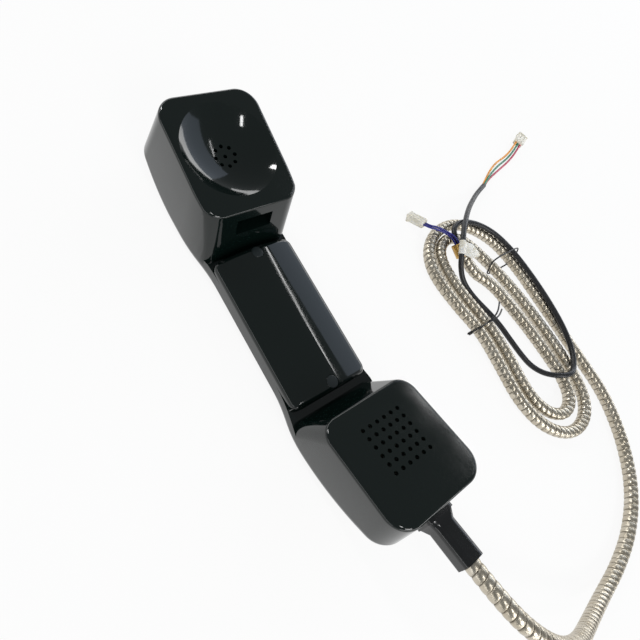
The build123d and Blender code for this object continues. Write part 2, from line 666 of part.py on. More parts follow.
# Cord on the table: the hose, the black cable that leaves it, and the loose wires
HOSE_ROUTE = [
    on_entry(BOOT_LENGTH), on_entry(BOOT_LENGTH + 18), (162, 6, 48.5), (177, 18, 42), (191, 36, 29.5),
    (201, 58, 15.5), (206, 82, 6.5), (206, 106, 3.9), (200, 130, 3.7), (187, 152, 3.7),
    (167, 168, 3.9), (146, 176.5, 4.4), (130, 179.5, HANK_Z), (116, 179.5, HANK_Z),
]
TAIL_ROUTE = [(58, 151.8, HANK_Z), (38, 148.8, HANK_Z), (24, 137.2, 5.4), (6.5, 136.8, 9.7)]
TAIL_AIM = (Vector(*TAIL_ROUTE[-1]) - Vector(*TAIL_ROUTE[-2])).normalized()
CABLE_ROUTE = [
    TAIL_ROUTE[-1], tuple(Vector(*TAIL_ROUTE[-1]) + TAIL_AIM * 6.5),
    (-4.2, 139.8, 11.4), (-6.6, 146.0, 10.9), (-6.2, 153, 10.4), (-3.2, 160, 10.3),
    (2.2, 166.8, 10.3), (9.5, 172.4, 10.3), (19, 176.2, 10.3), (32, 178.8, 10.3),
    (50, 179.8, 10.3), (70, 179.0, 10.3), (88, 176, 10.3), (102, 169.5, 10.5),
    (109.5, 161, 10.8), (110.3, 154, 12.2), (108, 147.5, 10.6), (102.6, 142.6, 5.4),
    (95, 140.0, 2.1), (86, 138.4, 1.8), (74, 137.6, 1.8), (62, 137.0, 1.8), (52, 134.6, 1.8),
    (43, 131.8, 1.8), (34, 130.4, 1.8), (26.5, 130.0, 4.4), (20.5, 131.2, 10.2),
    (16.0, 133.4, 15.4), (9.8, 140.6, 17.0), (4.5, 146.4, 16.2), (-1.0, 151.8, 14.9),
    (-6.2, 158.2, 14.0), (-10.6, 166, 8.6), (-13.8, 174.5, 3.4), (-17, 183.5, 1.8),
    (-22.0, 194, 1.8), (-27.5, 205.5, 1.8),
]
WIRE_PLAN = [
    (-27.5, 205.5), (-30.61, 212.0), (-35.0, 223.5), (-38.9, 236.5), (-41.4, 250.0), (-45.6, 262.5),
    (-50.4, 273.5),
]
WIRE_SPREAD = [0.75, 0.75, 2.0, 2.9, 2.3, 2.0, 2.0]
WIRE_HEIGHT = [1.37, 1.37, 0.85, 0.8, 0.9, 2.5, 2.5]
TOP_WIRE_HEIGHT = [2.67, 2.67, 1.2, 0.8, 0.85, 2.5, 2.5]


def wire_route(side, heights):
    """One of the three wires: the middle line moved sideways by its share of the spread."""
    route = []
    for step, (x, y) in enumerate(WIRE_PLAN):
        low = WIRE_PLAN[max(step - 1, 0)]
        high = WIRE_PLAN[max(step, 1)]
        run = math.hypot(high[0] - low[0], high[1] - low[1])
        shift = side * WIRE_SPREAD[step] / run
        route.append((x + shift * (high[1] - low[1]), y - shift * (high[0] - low[0]), heights[step]))
    return route


FERRULE_END = Vector(*TAIL_ROUTE[-1]) + TAIL_AIM * FERRULE_LIP
MOUTH_OF_FERRULE = Plane(origin=FERRULE_END, x_dir=(0, 0, 1), z_dir=TAIL_AIM)
HOUSING_BACK = Vector(-15.5, 122.0, 9.0)
HOUSING_FRONT = Vector(-27.9, 120.2, 2.8)
HOUSING_AIM = HOUSING_FRONT - HOUSING_BACK
HOUSING = Plane(origin=HOUSING_BACK, x_dir=(0.1436, -0.9896, 0), z_dir=HOUSING_AIM.normalized())
HOUSING_LENGTH = HOUSING_AIM.length


def on_plane(plane, x, y, z):
    """Point given in a plane's own axes."""
    place = plane.origin + plane.x_dir * x + plane.y_dir * y + plane.z_dir * z
    return (place.X, place.Y, place.Z)


def blue_route(side):
    """One of the two blue wires, from the ferrule's lip over the hank to the housing."""
    x, y = 1.45 + 0.85 * side, -2.3 + 0.6 * side
    way = -side * BLUE_PITCH / 2
    return [
        on_plane(MOUTH_OF_FERRULE, x, y, 0), on_plane(MOUTH_OF_FERRULE, x, y, 4),
        (-3.6, 131.6 + 0.9 * side, 11.9), (-9.0 - 0.8 * side, 127.0 + 0.7 * side, 11.3),
        on_plane(HOUSING, way, 0, -4), on_plane(HOUSING, way, 0, 0),
    ]


HANK_OUTLINE = [
    (116, 183.2), (33, 183.5), (4, 171.8), (-13.8, 151), (-12.6, 128), (1.5, 107.4), (24, 106.0),
    (60, 112.6), (104, 107.6), (127, 112), (143, 131), (142.5, 151), (129, 167), (106, 169.8),
    (50, 169.0), (50, 175.8), (116, 175.8),
]
HANK_ROUNDS = [60, 30, 26, 26, 22, 40, 60, 50, 25, 20, 20, 20, 40, 2, 2]
HOLE_OUTLINE = [
    (90, 151.3), (111, 151.6), (124, 143), (121.5, 130.5), (104, 125.2), (60, 128.7), (20, 123.6),
    (8.5, 126.3), (2.0, 133.5), (2.2, 142.5), (8.0, 147.2), (22, 152.6), (38, 157.2), (54, 160.6),
]
HOLE_ROUNDS = [12, 10, 10, 50, 60, 30, 8, 6, 6, 12, 60, 60]


def conduit_hank():
    """The wound turns of hose as one flat solid, open in the middle and between two turns."""
    outside = FilletPolyline(*HANK_OUTLINE, radius=HANK_ROUNDS)
    sheet = make_face(Curve() + [outside, Line(outside @ 1, outside @ 0)])
    start = Vector(*TAIL_ROUTE[0])
    aim = (Vector(*TAIL_ROUTE[1]) - start).normalized()
    side = Vector(-aim.Y, aim.X, 0) * (CONDUIT / 2)
    inner = FilletPolyline(*HOLE_OUTLINE, radius=HOLE_ROUNDS)
    near, far = start + side, start - side
    corners = [(near.X, near.Y), (far.X, far.Y)]
    corners.sort(key=lambda corner: corner[1], reverse=True)
    hole = make_face(Curve() + [inner, Polyline(inner @ 1, corners[0], corners[1], inner @ 0)])
    return Pos(0, 0, HANK_LIFT) * extrude(sheet - hole, CONDUIT, dir=(0, 0, 1))


def end_ferrule():
    """Brass cup crimped over the end of the hose, with a lipped mouth for the cable."""
    ferrule = disc(MOUTH_OF_FERRULE, 0, 0, FERRULE_RADIUS, -FERRULE_LENGTH, 0)
    ferrule = fillet(ferrule.edges().filter_by(GeomType.CIRCLE), FERRULE_LIP / 2)
    ferrule -= disc(MOUTH_OF_FERRULE, 0, 0, CONDUIT / 2, -2 * FERRULE_LENGTH, -FERRULE_LIP)
    return ferrule - disc(MOUTH_OF_FERRULE, 0, 0, CABLE / 2, -FERRULE_LENGTH, FERRULE_LIP)


def wire_housing(plane, length, width, high, ways, pitch):
    """Moulded connector housing: a cavity for each wire's contact and a latch rib on top."""
    housing = plane * Pos(0, 0, length / 2) * Box(width, high, length)
    housing = fillet(housing.edges().filter_by(Axis(plane.origin, plane.z_dir)), 0.5)
    for way in range(ways):
        across = (way - (ways - 1) / 2) * pitch
        housing -= plane * Pos(across, 0, length) * Box(pitch * 0.7, high * 0.5, length)
    rib = Pos(0, high / 2, length * 0.7) * Box(width * 0.6, 0.8, length * 0.25)
    return housing + plane * rib


TAGGED_RUN = (27, 28)        # points of the cable's route on each side of the tag
TAG_OUTLINE = [(9.4, 136.2), (16.6, 136.2), (15.8, 157.0), (9.6, 158.5)]


def cable_tag():
    """Blank tag: a sleeve round the cable and a flag that hangs over the hank."""
    low, high = (Vector(*CABLE_ROUTE[step]) for step in TAGGED_RUN)
    centre = (low + high) * 0.5
    across = (high.Y - low.Y, low.X - high.X, 0)
    along = Plane(origin=centre, x_dir=across, z_dir=(high - low).normalized())
    fall = math.radians(TAG_SLOPE)
    leaf_plane = Plane(origin=centre, x_dir=(1, 0, 0), z_dir=(0, -math.sin(fall), math.cos(fall)))
    corners = [(x - centre.X, y - centre.Y) for x, y in TAG_OUTLINE]
    sheet = make_face(Polyline(*corners, close=True))
    leaf = leaf_plane * Pos(0, 0, -TAG_THICK / 2) * extrude(sheet, TAG_THICK, dir=(0, 0, 1))
    bore = CABLE / 2 + 2 * CLEAR
    sleeve = disc(along, 0, 0, bore + TAG_THICK, -TAG_SLEEVE / 2, TAG_SLEEVE / 2)
    return leaf + sleeve - disc(along, 0, 0, bore, -TAG_SLEEVE, TAG_SLEEVE)


# Ties: each loop is given across the hank, as Y and Z, just inside the wire
NEAR_TIE_X = 57.5
NEAR_TIE_LOOP = [(111.4, 1.0), (129.0, 1.0), (129.0, 8.4), (111.4, 8.4)]
FAR_TIE_X = 30.0
FAR_TIE_LOOP = [(154.2, 1.0), (183.8, 1.0), (183.8, 8.4), (181.2, 12.0), (176.6, 12.0), (154.2, 8.4)]


def hank_tie(x, loop):
    """Wire tie drawn tight round some turns of the hank."""
    plane = Plane(origin=(x, 0, 0), x_dir=(0, 1, 0), z_dir=(1, 0, 0))
    inside = make_face(Polyline(*loop, close=True))
    outside = offset(inside, TIE, kind=Kind.ARC)
    return plane * Pos(0, 0, -TIE / 2) * extrude(outside - inside, TIE, dir=(0, 0, 1))


def microphone_membrane():
    """Splash film under the hole grid."""
    return disc(MOUTH, GRID_SHIFT, 0, MICROPHONE_RADIUS, -RIM - MEMBRANE_THICK, -RIM)


def microphone_gasket():
    """Foam ring that presses the film to the cap."""
    return ring(MOUTH, GRID_SHIFT, 0, MICROPHONE_RADIUS, MICROPHONE_GASKET_BORE,
                -MICROPHONE_FRONT, -RIM - MEMBRANE_THICK)


def microphone_capsule():
    """Tin of the microphone."""
    capsule = disc(MOUTH, GRID_SHIFT, 0, MICROPHONE_RADIUS, -MICROPHONE_BACK, -MICROPHONE_FRONT)
    return fillet(capsule.edges().filter_by(GeomType.CIRCLE), RIM_ROUND / 2)


def balance_weight(end_x):
    """Steel bar with chamfered ends that gives the handle its heft."""
    bottom = WALL + PAD_THICK
    weight = block(WEIGHT_START_X, end_x, WEIGHT_WIDTH / 2, bottom, bottom + WEIGHT_HIGH)
    return chamfer(weight.edges().filter_by(Axis.Y), 1)


def lanyard_eyelet():
    """Crimped eye at the lanyard's end: a ring on its post and a barrel towards the cord."""
    level = LANYARD_POST_TOP + EYELET_THICK / 2
    eye = column(*LANYARD_POST, EYELET_RADIUS, LANYARD_POST_TOP, LANYARD_POST_TOP + EYELET_THICK)
    aim = Plane(origin=(*LANYARD_POST, level), x_dir=(0, 0, 1), z_dir=(*EYELET_AIM, 0))
    barrel = disc(aim, 0, 0, LANYARD / 2 + EYELET_THICK / 2,
                  EYELET_RADIUS - EYELET_THICK / 2, EYELET_BARREL)
    return eye + barrel - column(*LANYARD_POST, SMALL_SHANK / 2 + CLEAR, 0, FACE_EDGE_Z)


def lanyard_screw():
    head_low = LANYARD_POST_TOP + EYELET_THICK
    screw = column(*LANYARD_POST, SMALL_HEAD / 2, head_low, head_low + SMALL_HEAD_HIGH)
    return screw + column(*LANYARD_POST, SMALL_SHANK / 2, head_low - SMALL_BITE, head_low)


def wire_end_plane():
    """Back face of the housing on the three wires."""
    (x_before, y_before), (x, y) = WIRE_PLAN[-2:]
    run = math.hypot(x - x_before, y - y_before)
    aim = ((x - x_before) / run, (y - y_before) / run, 0)
    return Plane(origin=(x, y, WIRE_HEIGHT[-1]), x_dir=(aim[1], -aim[0], 0), z_dir=aim)


def piece_makers():
    """Every piece of the handset and its cord, by the name of its node."""
    dish_back = -RECEIVER_BACK
    grid_back = -MICROPHONE_BACK
    boss_x, boss_y = RECEIVER_BOSS
    boss_turn = math.degrees(math.atan2(boss_y, boss_x))
    weight_end = WEIGHT_START_X + WEIGHT_LENGTH
    return {
        "handle_shell": handle_shell,
        "ear_cap": ear_cap,
        "mouth_cap": mouth_cap,
        "ear_cap_seal": lambda: cap_seal(EAR),
        "mouth_cap_seal": lambda: cap_seal(MOUTH),
        "receiver_gasket": receiver_gasket,
        "receiver_membrane": receiver_membrane,
        "receiver_capsule": receiver_capsule,
        "receiver_retainer": lambda: bar_retainer(EAR, boss_x, boss_y, dish_back, boss_turn, 0),
        "receiver_screws": lambda: bar_screws(EAR, boss_x, boss_y, dish_back, 0),
        "microphone_membrane": microphone_membrane,
        "microphone_gasket": microphone_gasket,
        "microphone_capsule": microphone_capsule,
        "microphone_retainer":
            lambda: bar_retainer(MOUTH, 0, MICROPHONE_BOSS, grid_back, 90, GRID_SHIFT),
        "microphone_screws": lambda: bar_screws(MOUTH, 0, MICROPHONE_BOSS, grid_back, GRID_SHIFT),
        "ear_cap_screw": lambda: cap_screw(EAR_SCREW_X),
        "mouth_cap_screw": lambda: cap_screw(MOUTH_SCREW_X),
        "ear_end_plug": lambda: end_plug(EAR_SCREW_X),
        "mouth_end_plug": lambda: end_plug(MOUTH_SCREW_X),
        "weight_pad":
            lambda: block(WEIGHT_START_X, weight_end, WEIGHT_WIDTH / 2, WALL, WALL + PAD_THICK),
        "balance_weight": lambda: balance_weight(weight_end),
        "cord_boot": cord_boot,
        "cord_anchor": cord_anchor,
        "anchor_screws": anchor_screws,
        "cord_stop": lambda: ring(ENTRY, 0, 0, STOP_RADIUS, CONDUIT / 2, STOP_BACK, ANCHOR_BACK),
        "hose_end": lambda: disc(ENTRY, 0, 0, CONDUIT / 2, ENTRY_BACK, BOOT_LENGTH),
        "lanyard": lambda: tube("lanyard", LANYARD_ROUTE, LANYARD),
        "lanyard_eyelet": lanyard_eyelet,
        "lanyard_screw": lanyard_screw,
        "receiver_lead_one": lambda: tube("receiver lead one", RECEIVER_LEAD_ONE, LEAD),
        "receiver_lead_two": lambda: tube("receiver lead two", RECEIVER_LEAD_TWO, LEAD),
        "microphone_lead_one": lambda: tube("microphone lead one", MICROPHONE_LEAD_ONE, LEAD),
        "microphone_lead_two": lambda: tube("microphone lead two", MICROPHONE_LEAD_TWO, LEAD),
        "hose_run": lambda: tube("hose run", HOSE_ROUTE, CONDUIT),
        "hose_hank": conduit_hank,
        "hose_tail": lambda: tube("hose tail", TAIL_ROUTE, CONDUIT),
        "hose_ferrule": end_ferrule,
        "signal_cable": lambda: tube("signal cable", CABLE_ROUTE, CABLE),
        "orange_wire": lambda: tube("orange wire", wire_route(-1, WIRE_HEIGHT), WIRE),
        "green_wire": lambda: tube("green wire", wire_route(0, TOP_WIRE_HEIGHT), WIRE),
        "red_wire": lambda: tube("red wire", wire_route(1, WIRE_HEIGHT), WIRE),
        "wire_housing": lambda: wire_housing(wire_end_plane(), WIRE_HOUSING_LENGTH, WIRE_HOUSING_WIDTH,
                                             WIRE_HOUSING_HIGH, 3, WIRE_SPREAD[-1]),
        "blue_wire_one": lambda: tube("blue wire one", blue_route(1), BLUE_WIRE),
        "blue_wire_two": lambda: tube("blue wire two", blue_route(-1), BLUE_WIRE),
        "blue_housing": lambda: wire_housing(HOUSING, HOUSING_LENGTH, BLUE_HOUSING_WIDTH,
                                             BLUE_HOUSING_WIDTH, 2, BLUE_PITCH),
        "cable_tag": cable_tag,
        "near_tie": lambda: hank_tie(NEAR_TIE_X, NEAR_TIE_LOOP),
        "far_tie": lambda: hank_tie(FAR_TIE_X, FAR_TIE_LOOP),
    }


os.makedirs("parts", exist_ok=True)
for node, maker in piece_makers().items():
    export_step(maker(), os.path.join("parts", node + ".step"))
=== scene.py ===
# A heavy-duty telephone handset: a polished black handle with a dished ear cap and a mouth
# cap with a grid of holes, and an armoured cord that lies beside it, tied in a hank.
# Metres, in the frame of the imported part. The back lies on Z = 0 and the ear cap is at -X.
import math

import bmesh
import bpy
import numpy as np
from mathutils import Matrix, Vector


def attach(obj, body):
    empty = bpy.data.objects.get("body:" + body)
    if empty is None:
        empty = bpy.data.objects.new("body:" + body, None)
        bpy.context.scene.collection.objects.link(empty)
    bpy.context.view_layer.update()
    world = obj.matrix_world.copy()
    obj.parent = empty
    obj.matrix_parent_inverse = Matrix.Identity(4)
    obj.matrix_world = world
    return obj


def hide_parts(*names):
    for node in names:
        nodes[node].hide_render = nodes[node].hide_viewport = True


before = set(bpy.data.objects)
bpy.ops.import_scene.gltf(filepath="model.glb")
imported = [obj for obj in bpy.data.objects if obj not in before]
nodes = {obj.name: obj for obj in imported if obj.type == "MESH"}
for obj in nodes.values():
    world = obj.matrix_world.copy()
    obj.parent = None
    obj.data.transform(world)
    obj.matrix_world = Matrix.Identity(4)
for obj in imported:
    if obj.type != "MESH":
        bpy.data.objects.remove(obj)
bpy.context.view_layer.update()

# The view: a camera held close above the table, before the middle of the grip. It looks down
# and across the handset towards the hank. The three rows are its own axes in the frame.
lens = bpy.data.cameras.new("view")
lens.sensor_width = 36.0
lens.lens = 26.1
lens.shift_x = 0.0334
lens.shift_y = -0.0088
lens.clip_start = 0.005
camera = bpy.data.objects.new("view", lens)
view_axes = Matrix(((0.4953, 0.7904, 0.3605), (-0.8531, 0.3641, 0.3738), (0.1642, -0.4927, 0.8546)))
camera.matrix_world = Matrix.Translation((0.0425, -0.1071, 0.2105)) @ view_axes.transposed().to_4x4()
bpy.context.scene.collection.objects.link(camera)
bpy.context.scene.camera = camera
bpy.context.scene.view_settings.view_transform = "Standard"


# The studio: a sheet of white paper on a table, in a room with pale walls and a dimmer ceiling.
# It looks white to the eye and in the gloss of the black plastic, and it keeps the shadow.
def linear(colour):
    """An sRGB hex colour as linear red, green and blue, with an alpha of one."""
    shares = [int(colour[place:place + 2], 16) / 255 for place in (1, 3, 5)]
    return tuple(s / 12.92 if s <= 0.04045 else ((s + 0.055) / 1.055) ** 2.4 for s in shares) + (1.0,)


def add_node(tree, kind, sockets=(), **settings):
    """Adds a shader node. A socket gets a value, or a link where the value is another's output."""
    node = tree.nodes.new("ShaderNode" + kind)
    for name, value in settings.items():
        setattr(node, name, value)
    for socket, value in dict(sockets).items():
        if isinstance(value, bpy.types.NodeSocket):
            tree.links.new(value, node.inputs[socket])
        else:
            node.inputs[socket].default_value = value
    return node


def new_finish(name):
    """An empty material, and its node tree."""
    finish = bpy.data.materials.new(name)
    finish.use_nodes = True
    finish.node_tree.nodes.clear()
    return finish, finish.node_tree


paper_glow = 0.9  # the share of plain white that the eye and a reflection get
paper_finish, tree = new_finish("white_paper")
seen = add_node(tree, "LightPath")
looked_at = add_node(tree, "Math", {0: seen.outputs["Is Camera Ray"], 1: seen.outputs["Is Glossy Ray"]},
                     operation="MAXIMUM")
share = add_node(tree, "Math", {0: looked_at.outputs[0], 1: paper_glow}, operation="MULTIPLY")
matt = add_node(tree, "BsdfDiffuse", {"Color": linear("#f4f4f2")})
glow = add_node(tree, "Emission", {"Color": linear("#ffffff"), "Strength": 1.0})
both = add_node(tree, "MixShader", {0: share.outputs[0], 1: matt.outputs[0], 2: glow.outputs[0]})
add_node(tree, "OutputMaterial", {"Surface": both.outputs[0]})

paper_half = 4.0
paper_top = -0.00005  # just under the object, so that no flat back shares its plane
paper_mesh = bpy.data.meshes.new("paper")
paper_mesh.from_pydata([(-paper_half, -paper_half, paper_top), (paper_half, -paper_half, paper_top),
                        (paper_half, paper_half, paper_top), (-paper_half, paper_half, paper_top)], [],
                       [(0, 1, 2, 3)])
paper_mesh.materials.append(paper_finish)
paper = bpy.data.objects.new("paper", paper_mesh)
bpy.context.scene.collection.objects.link(paper)

room = bpy.data.worlds.new("room")
room.use_nodes = True
room.node_tree.nodes.clear()
direction = add_node(room.node_tree, "TexCoord").outputs["Generated"]
height = add_node(room.node_tree, "SeparateXYZ", {0: direction}).outputs["Z"]
fall = add_node(room.node_tree, "MapRange", {"Value": height, "From Min": 0.05, "From Max": 0.5,
                                             "To Min": 0.62, "To Max": 0.31}, interpolation_type="SMOOTHSTEP")
walls = add_node(room.node_tree, "Background", {"Color": linear("#e9edf0"), "Strength": fall.outputs[0]})
backdrop = add_node(room.node_tree, "Background", {"Color": linear("#fbfbfa"), "Strength": 1.0})
seen = add_node(room.node_tree, "LightPath")
shown = add_node(room.node_tree, "MixShader", {0: seen.outputs["Is Camera Ray"], 1: walls.outputs[0],
                                               2: backdrop.outputs[0]})
add_node(room.node_tree, "OutputWorld", {"Surface": shown.outputs[0]})
bpy.context.scene.world = room


def add_lamp(name, place, target, width, depth, watts, colour="#ffffff", roll=0.0):
    """A soft rectangular lamp at a place, turned to a target and then rolled about its own axis."""
    light = bpy.data.lights.new(name, "AREA")
    light.shape = "RECTANGLE"
    light.color = linear(colour)[:3]
    light.size, light.size_y, light.energy = width, depth, watts
    lamp = bpy.data.objects.new(name, light)
    aim = Vector(target) - Vector(place)
    turned = aim.to_track_quat("-Z", "Y").to_matrix().to_4x4() @ Matrix.Rotation(roll, 4, "Z")
    lamp.matrix_world = Matrix.Translation(place) @ turned
    bpy.context.scene.collection.objects.link(lamp)
    return lamp


# A broad dim window and the thin bright gap over its blind lie behind the handset, so that the
# grip shows a soft band with a crisp edge. Boxes at both ends light it where the grip has no face.
add_lamp("window", (-0.2, 1.05, 0.62), (0.0, 0.0, 0.02), 1.3, 0.62, 2.6, "#d2e0f5")
add_lamp("blind_gap", (-0.2, 0.755, 0.918), (-0.2, 0.0, 0.02), 0.46, 0.02, 0.42, roll=-0.15)
add_lamp("left_box", (-1.0, -0.2, 0.8), (-0.05, 0.0, 0.02), 0.1, 0.3, 3.0)
add_lamp("right_box", (1.05, -0.15, 0.85), (0.05, 0.0, 0.02), 0.4, 0.4, 5.0)
add_lamp("near_spot", (0.42, -0.2, 1.15), (-0.05, 0.0, 0.04), 0.07, 0.26, 1.5)
# Long low lights round the table draw the pale line along the edges of the caps and the dish.
for name, place, watts in (("far_strip", (-0.1, 1.3, 0.31), 4.5), ("left_strip", (-1.3, 0.1, 0.35), 4.0),
                           ("right_strip", (1.4, 0.0, 0.33), 5.0), ("near_strip", (0.0, -1.3, 0.3), 2.5)):
    add_lamp(name, place, (0.0, 0.0, 0.04), 1.8, 0.18, watts)


# The handle and its two screwed caps are injection-moulded ABS, cast in a polished mould,
# with a wall of 2.6 mm. Each cap plugs into its cup, so a hairline joint shows round it.
same_point = 2e-6  # points nearer than this are one
same_plane = math.radians(0.05)  # triangles that turn less than this are one face


def smooth_copy(node, turn=32.0):
    """The node's own mesh with its loose triangles joined and those in one plane made one face, smooth
    but for edges that turn by more degrees than are given."""
    mesh = nodes[node].data.copy()
    mesh.name = node + "_skin"
    joined = bmesh.new()
    joined.from_mesh(mesh)
    bmesh.ops.remove_doubles(joined, verts=joined.verts, dist=same_point)
    bmesh.ops.dissolve_limit(joined, angle_limit=same_plane, verts=joined.verts, edges=joined.edges)
    joined.to_mesh(mesh)
    joined.free()
    for name in ("custom_normal", "sharp_face"):
        if name in mesh.attributes:
            mesh.attributes.remove(mesh.attributes[name])
    mesh.shade_smooth()
    mesh.set_sharp_from_angle(angle=math.radians(turn))
    piece = bpy.data.objects.new(node + "_skin", mesh)
    bpy.context.scene.collection.objects.link(piece)
    weigh = piece.modifiers.new("flat faces stay flat", "WEIGHTED_NORMAL")
    weigh.mode = "FACE_AREA"
    weigh.weight = 80
    weigh.keep_sharp = True
    return piece


def dress(piece, finish, slot, *replaced):
    """Gives a piece its finish, fixes it to the handset, and hides the nodes it stands for. The slot is not
    used.
    """
    piece.data.materials.clear()
    piece.data.materials.append(finish)
    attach(piece, "root")
    if replaced:
        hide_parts(*replaced)
    return piece


def polished_abs(name, colour, smoothness):
    """Moulded ABS. The mould's polish gives clear reflections, its flow a faint wave of about 17 mm in
    them, and handling leaves a haze of wipe marks, 1.4 by 0.4 mm, in patches of about 22 mm."""
    finish, tree = new_finish(name)
    place = add_node(tree, "TexCoord").outputs["Object"]
    wave = add_node(tree, "TexNoise", {"Vector": place, "Scale": 60.0, "Detail": 1.0})
    wipe = add_node(tree, "Mapping", {"Vector": place, "Scale": (700.0, 2600.0, 2600.0)})
    marks = add_node(tree, "TexNoise", {"Vector": wipe.outputs[0], "Scale": 1.0, "Detail": 3.0})
    patches = add_node(tree, "TexNoise", {"Vector": place, "Scale": 45.0, "Detail": 3.0})
    haze = add_node(tree, "Math", {0: marks.outputs["Fac"], 1: patches.outputs["Fac"]}, operation="MULTIPLY")
    rough = add_node(tree, "MapRange", {"Value": haze.outputs[0], "From Min": 0.15, "From Max": 0.5,
                                        "To Min": smoothness, "To Max": smoothness + 0.09})
    bump = add_node(tree, "Bump", {"Height": wave.outputs["Fac"], "Strength": 0.12, "Distance": 0.0004})
    skin = add_node(tree, "BsdfPrincipled", {"Base Color": linear(colour), "Roughness": rough.outputs[0],
                                             "IOR": 1.47, "Normal": bump.outputs[0]})
    add_node(tree, "OutputMaterial", {"Surface": skin.outputs[0]})
    return finish


black_abs = polished_abs("polished_abs", "#07110f", 0.05)
for node in ("handle_shell", "ear_cap", "mouth_cap"):
    dress(smooth_copy(node), black_abs, "black_abs", node)

# The buttons over the two screws are pressed in flush. They come from another mould, which
# was less polished, so each shows as a slightly duller disc in the hairline of its own gap.
def vertices_of(mesh):
    """A mesh's vertices as rows of X, Y and Z."""
    points = np.empty(len(mesh.vertices) * 3)
    mesh.vertices.foreach_get("co", points)
    return points.reshape(-1, 3)


def closed_grid(name, points):
    """A grid of points as a mesh of quads. Points that coincide, at its seam and its poles, are joined."""
    rows, columns = points.shape[:2]
    index = np.arange(rows * columns).reshape(rows, columns)
    quads = np.stack([index[:-1, :-1], index[:-1, 1:], index[1:, 1:], index[1:, :-1]], axis=-1).reshape(-1, 4)
    mesh = bpy.data.meshes.new(name)
    mesh.vertices.add(rows * columns)
    mesh.vertices.foreach_set("co", points.astype(np.float32).ravel())
    mesh.loops.add(quads.size)
    mesh.loops.foreach_set("vertex_index", quads.ravel().astype(np.int32))
    mesh.polygons.add(len(quads))
    mesh.polygons.foreach_set("loop_start", np.arange(0, quads.size, 4, dtype=np.int32))
    mesh.update(calc_edges=True)
    joined = bmesh.new()
    joined.from_mesh(mesh)
    bmesh.ops.remove_doubles(joined, verts=joined.verts, dist=same_point)
    bmesh.ops.recalc_face_normals(joined, faces=joined.faces)
    joined.to_mesh(mesh)
    joined.free()
    mesh.shade_smooth()
    piece = bpy.data.objects.new(name, mesh)
    bpy.context.scene.collection.objects.link(piece)
    return piece


button_gap = 0.00012
button_depth = 0.0012
top_reach = 0.0007


def round_button(node, rim):
    """A disc turned about Z. Its top follows z = a + b x + c y, the plane that fits the node's own top
    best, less a rim that falls as a quarter circle over its last rim of radius. The node's top is
    what lies within top_reach of its highest point."""
    points = vertices_of(nodes[node].data)
    top = points[points[:, 2] > points[:, 2].max() - top_reach]
    plane = np.linalg.lstsq(np.column_stack([np.ones(len(top)), top[:, :2]]), top[:, 2], rcond=None)[0]
    centre = (points.min(axis=0) + points.max(axis=0)) / 2
    outer = (points[:, 0].max() - points[:, 0].min()) / 2 - button_gap
    corner = np.linspace(0, math.pi / 2, 7)
    radius = np.concatenate([[0, outer * 0.5], outer - rim + rim * np.sin(corner), [outer, 0]])
    drop = np.concatenate([[0, 0.00003], 0.00006 + rim * (1 - np.cos(corner)), [button_depth, button_depth]])
    turn = np.linspace(0, 2 * math.pi, 49)
    x = centre[0] + radius[:, None] * np.cos(turn)
    y = centre[1] + radius[:, None] * np.sin(turn)
    z = plane[0] + plane[1] * x + plane[2] * y - drop[:, None]
    return closed_grid(node + "_skin", np.stack([x, y, z], axis=-1))


button_rim = 0.0004
plug_abs = polished_abs("button_abs", "#182021", 0.28)
for node in ("ear_end_plug", "mouth_end_plug"):
    dress(round_button(node, button_rim), plug_abs, "plug_plastic", node)


# The cord boot is the strain relief, moulded in soft black rubber round the end of the hose: a
# square flange, a taper and a square sleeve. It is smooth, with an even satin skin.
def moulded_rubber(name, colour, roughness):
    """Rubber: a dark even skin, with the grain of its spark-eroded mould, which is drawn at 0.4 mm to
    show, and a bloom in patches of about 8 mm."""
    finish, tree = new_finish(name)
    place = add_node(tree, "TexCoord").outputs["Object"]
    grain = add_node(tree, "TexNoise", {"Vector": place, "Scale": 2600.0, "Detail": 2.0})
    bloom = add_node(tree, "TexNoise", {"Vector": place, "Scale": 120.0, "Detail": 3.0})
    rough = add_node(tree, "MapRange", {"Value": bloom.outputs["Fac"], "From Min": 0.3, "From Max": 0.7,
                                        "To Min": roughness - 0.06, "To Max": roughness + 0.06})
    bump = add_node(tree, "Bump", {"Height": grain.outputs["Fac"], "Strength": 0.15, "Distance": 0.00006})
    skin = add_node(tree, "BsdfPrincipled", {"Base Color": linear(colour), "Roughness": rough.outputs[0],
                                             "IOR": 1.52, "Normal": bump.outputs[0]})
    add_node(tree, "OutputMaterial", {"Surface": skin.outputs[0]})
    return finish


boot_rubber = moulded_rubber("boot_rubber", "#101213", 0.17)
boot = dress(smooth_copy("cord_boot", 40.0), boot_rubber, "boot_rubber", "cord_boot")


# The armoured hose is one strip of stainless steel, folded over its own edge as it is wound,
# 7.4 mm thick. Each turn is 3.7 mm long and nearly flat, with a groove to the next.
def spline_piece(name, route, radius=0.0):
    """An open NURBS spline whose control points are the route. A radius makes it round cord."""
    curve = bpy.data.curves.new(name, "CURVE")
    curve.dimensions = "3D"
    curve.resolution_u = 10
    spline = curve.splines.new("NURBS")
    spline.points.add(len(route) - 1)
    spline.points.foreach_set("co", np.column_stack([np.array(route), np.ones(len(route))]).ravel())
    spline.order_u = 3
    spline.use_endpoint_u = True
    curve.bevel_depth = radius
    curve.bevel_resolution = 5
    curve.use_fill_caps = True
    piece = bpy.data.objects.new(name, curve)
    bpy.context.scene.collection.objects.link(piece)
    return piece


def line_of(route):
    """Points along a route's NURBS spline, read from a curve that has no thickness."""
    drawn = spline_piece("line", route)
    bpy.context.view_layer.update()
    mesh = bpy.data.meshes.new_from_object(drawn.evaluated_get(bpy.context.evaluated_depsgraph_get()))
    points = vertices_of(mesh)
    bpy.data.objects.remove(drawn)
    bpy.data.meshes.remove(mesh)
    return points


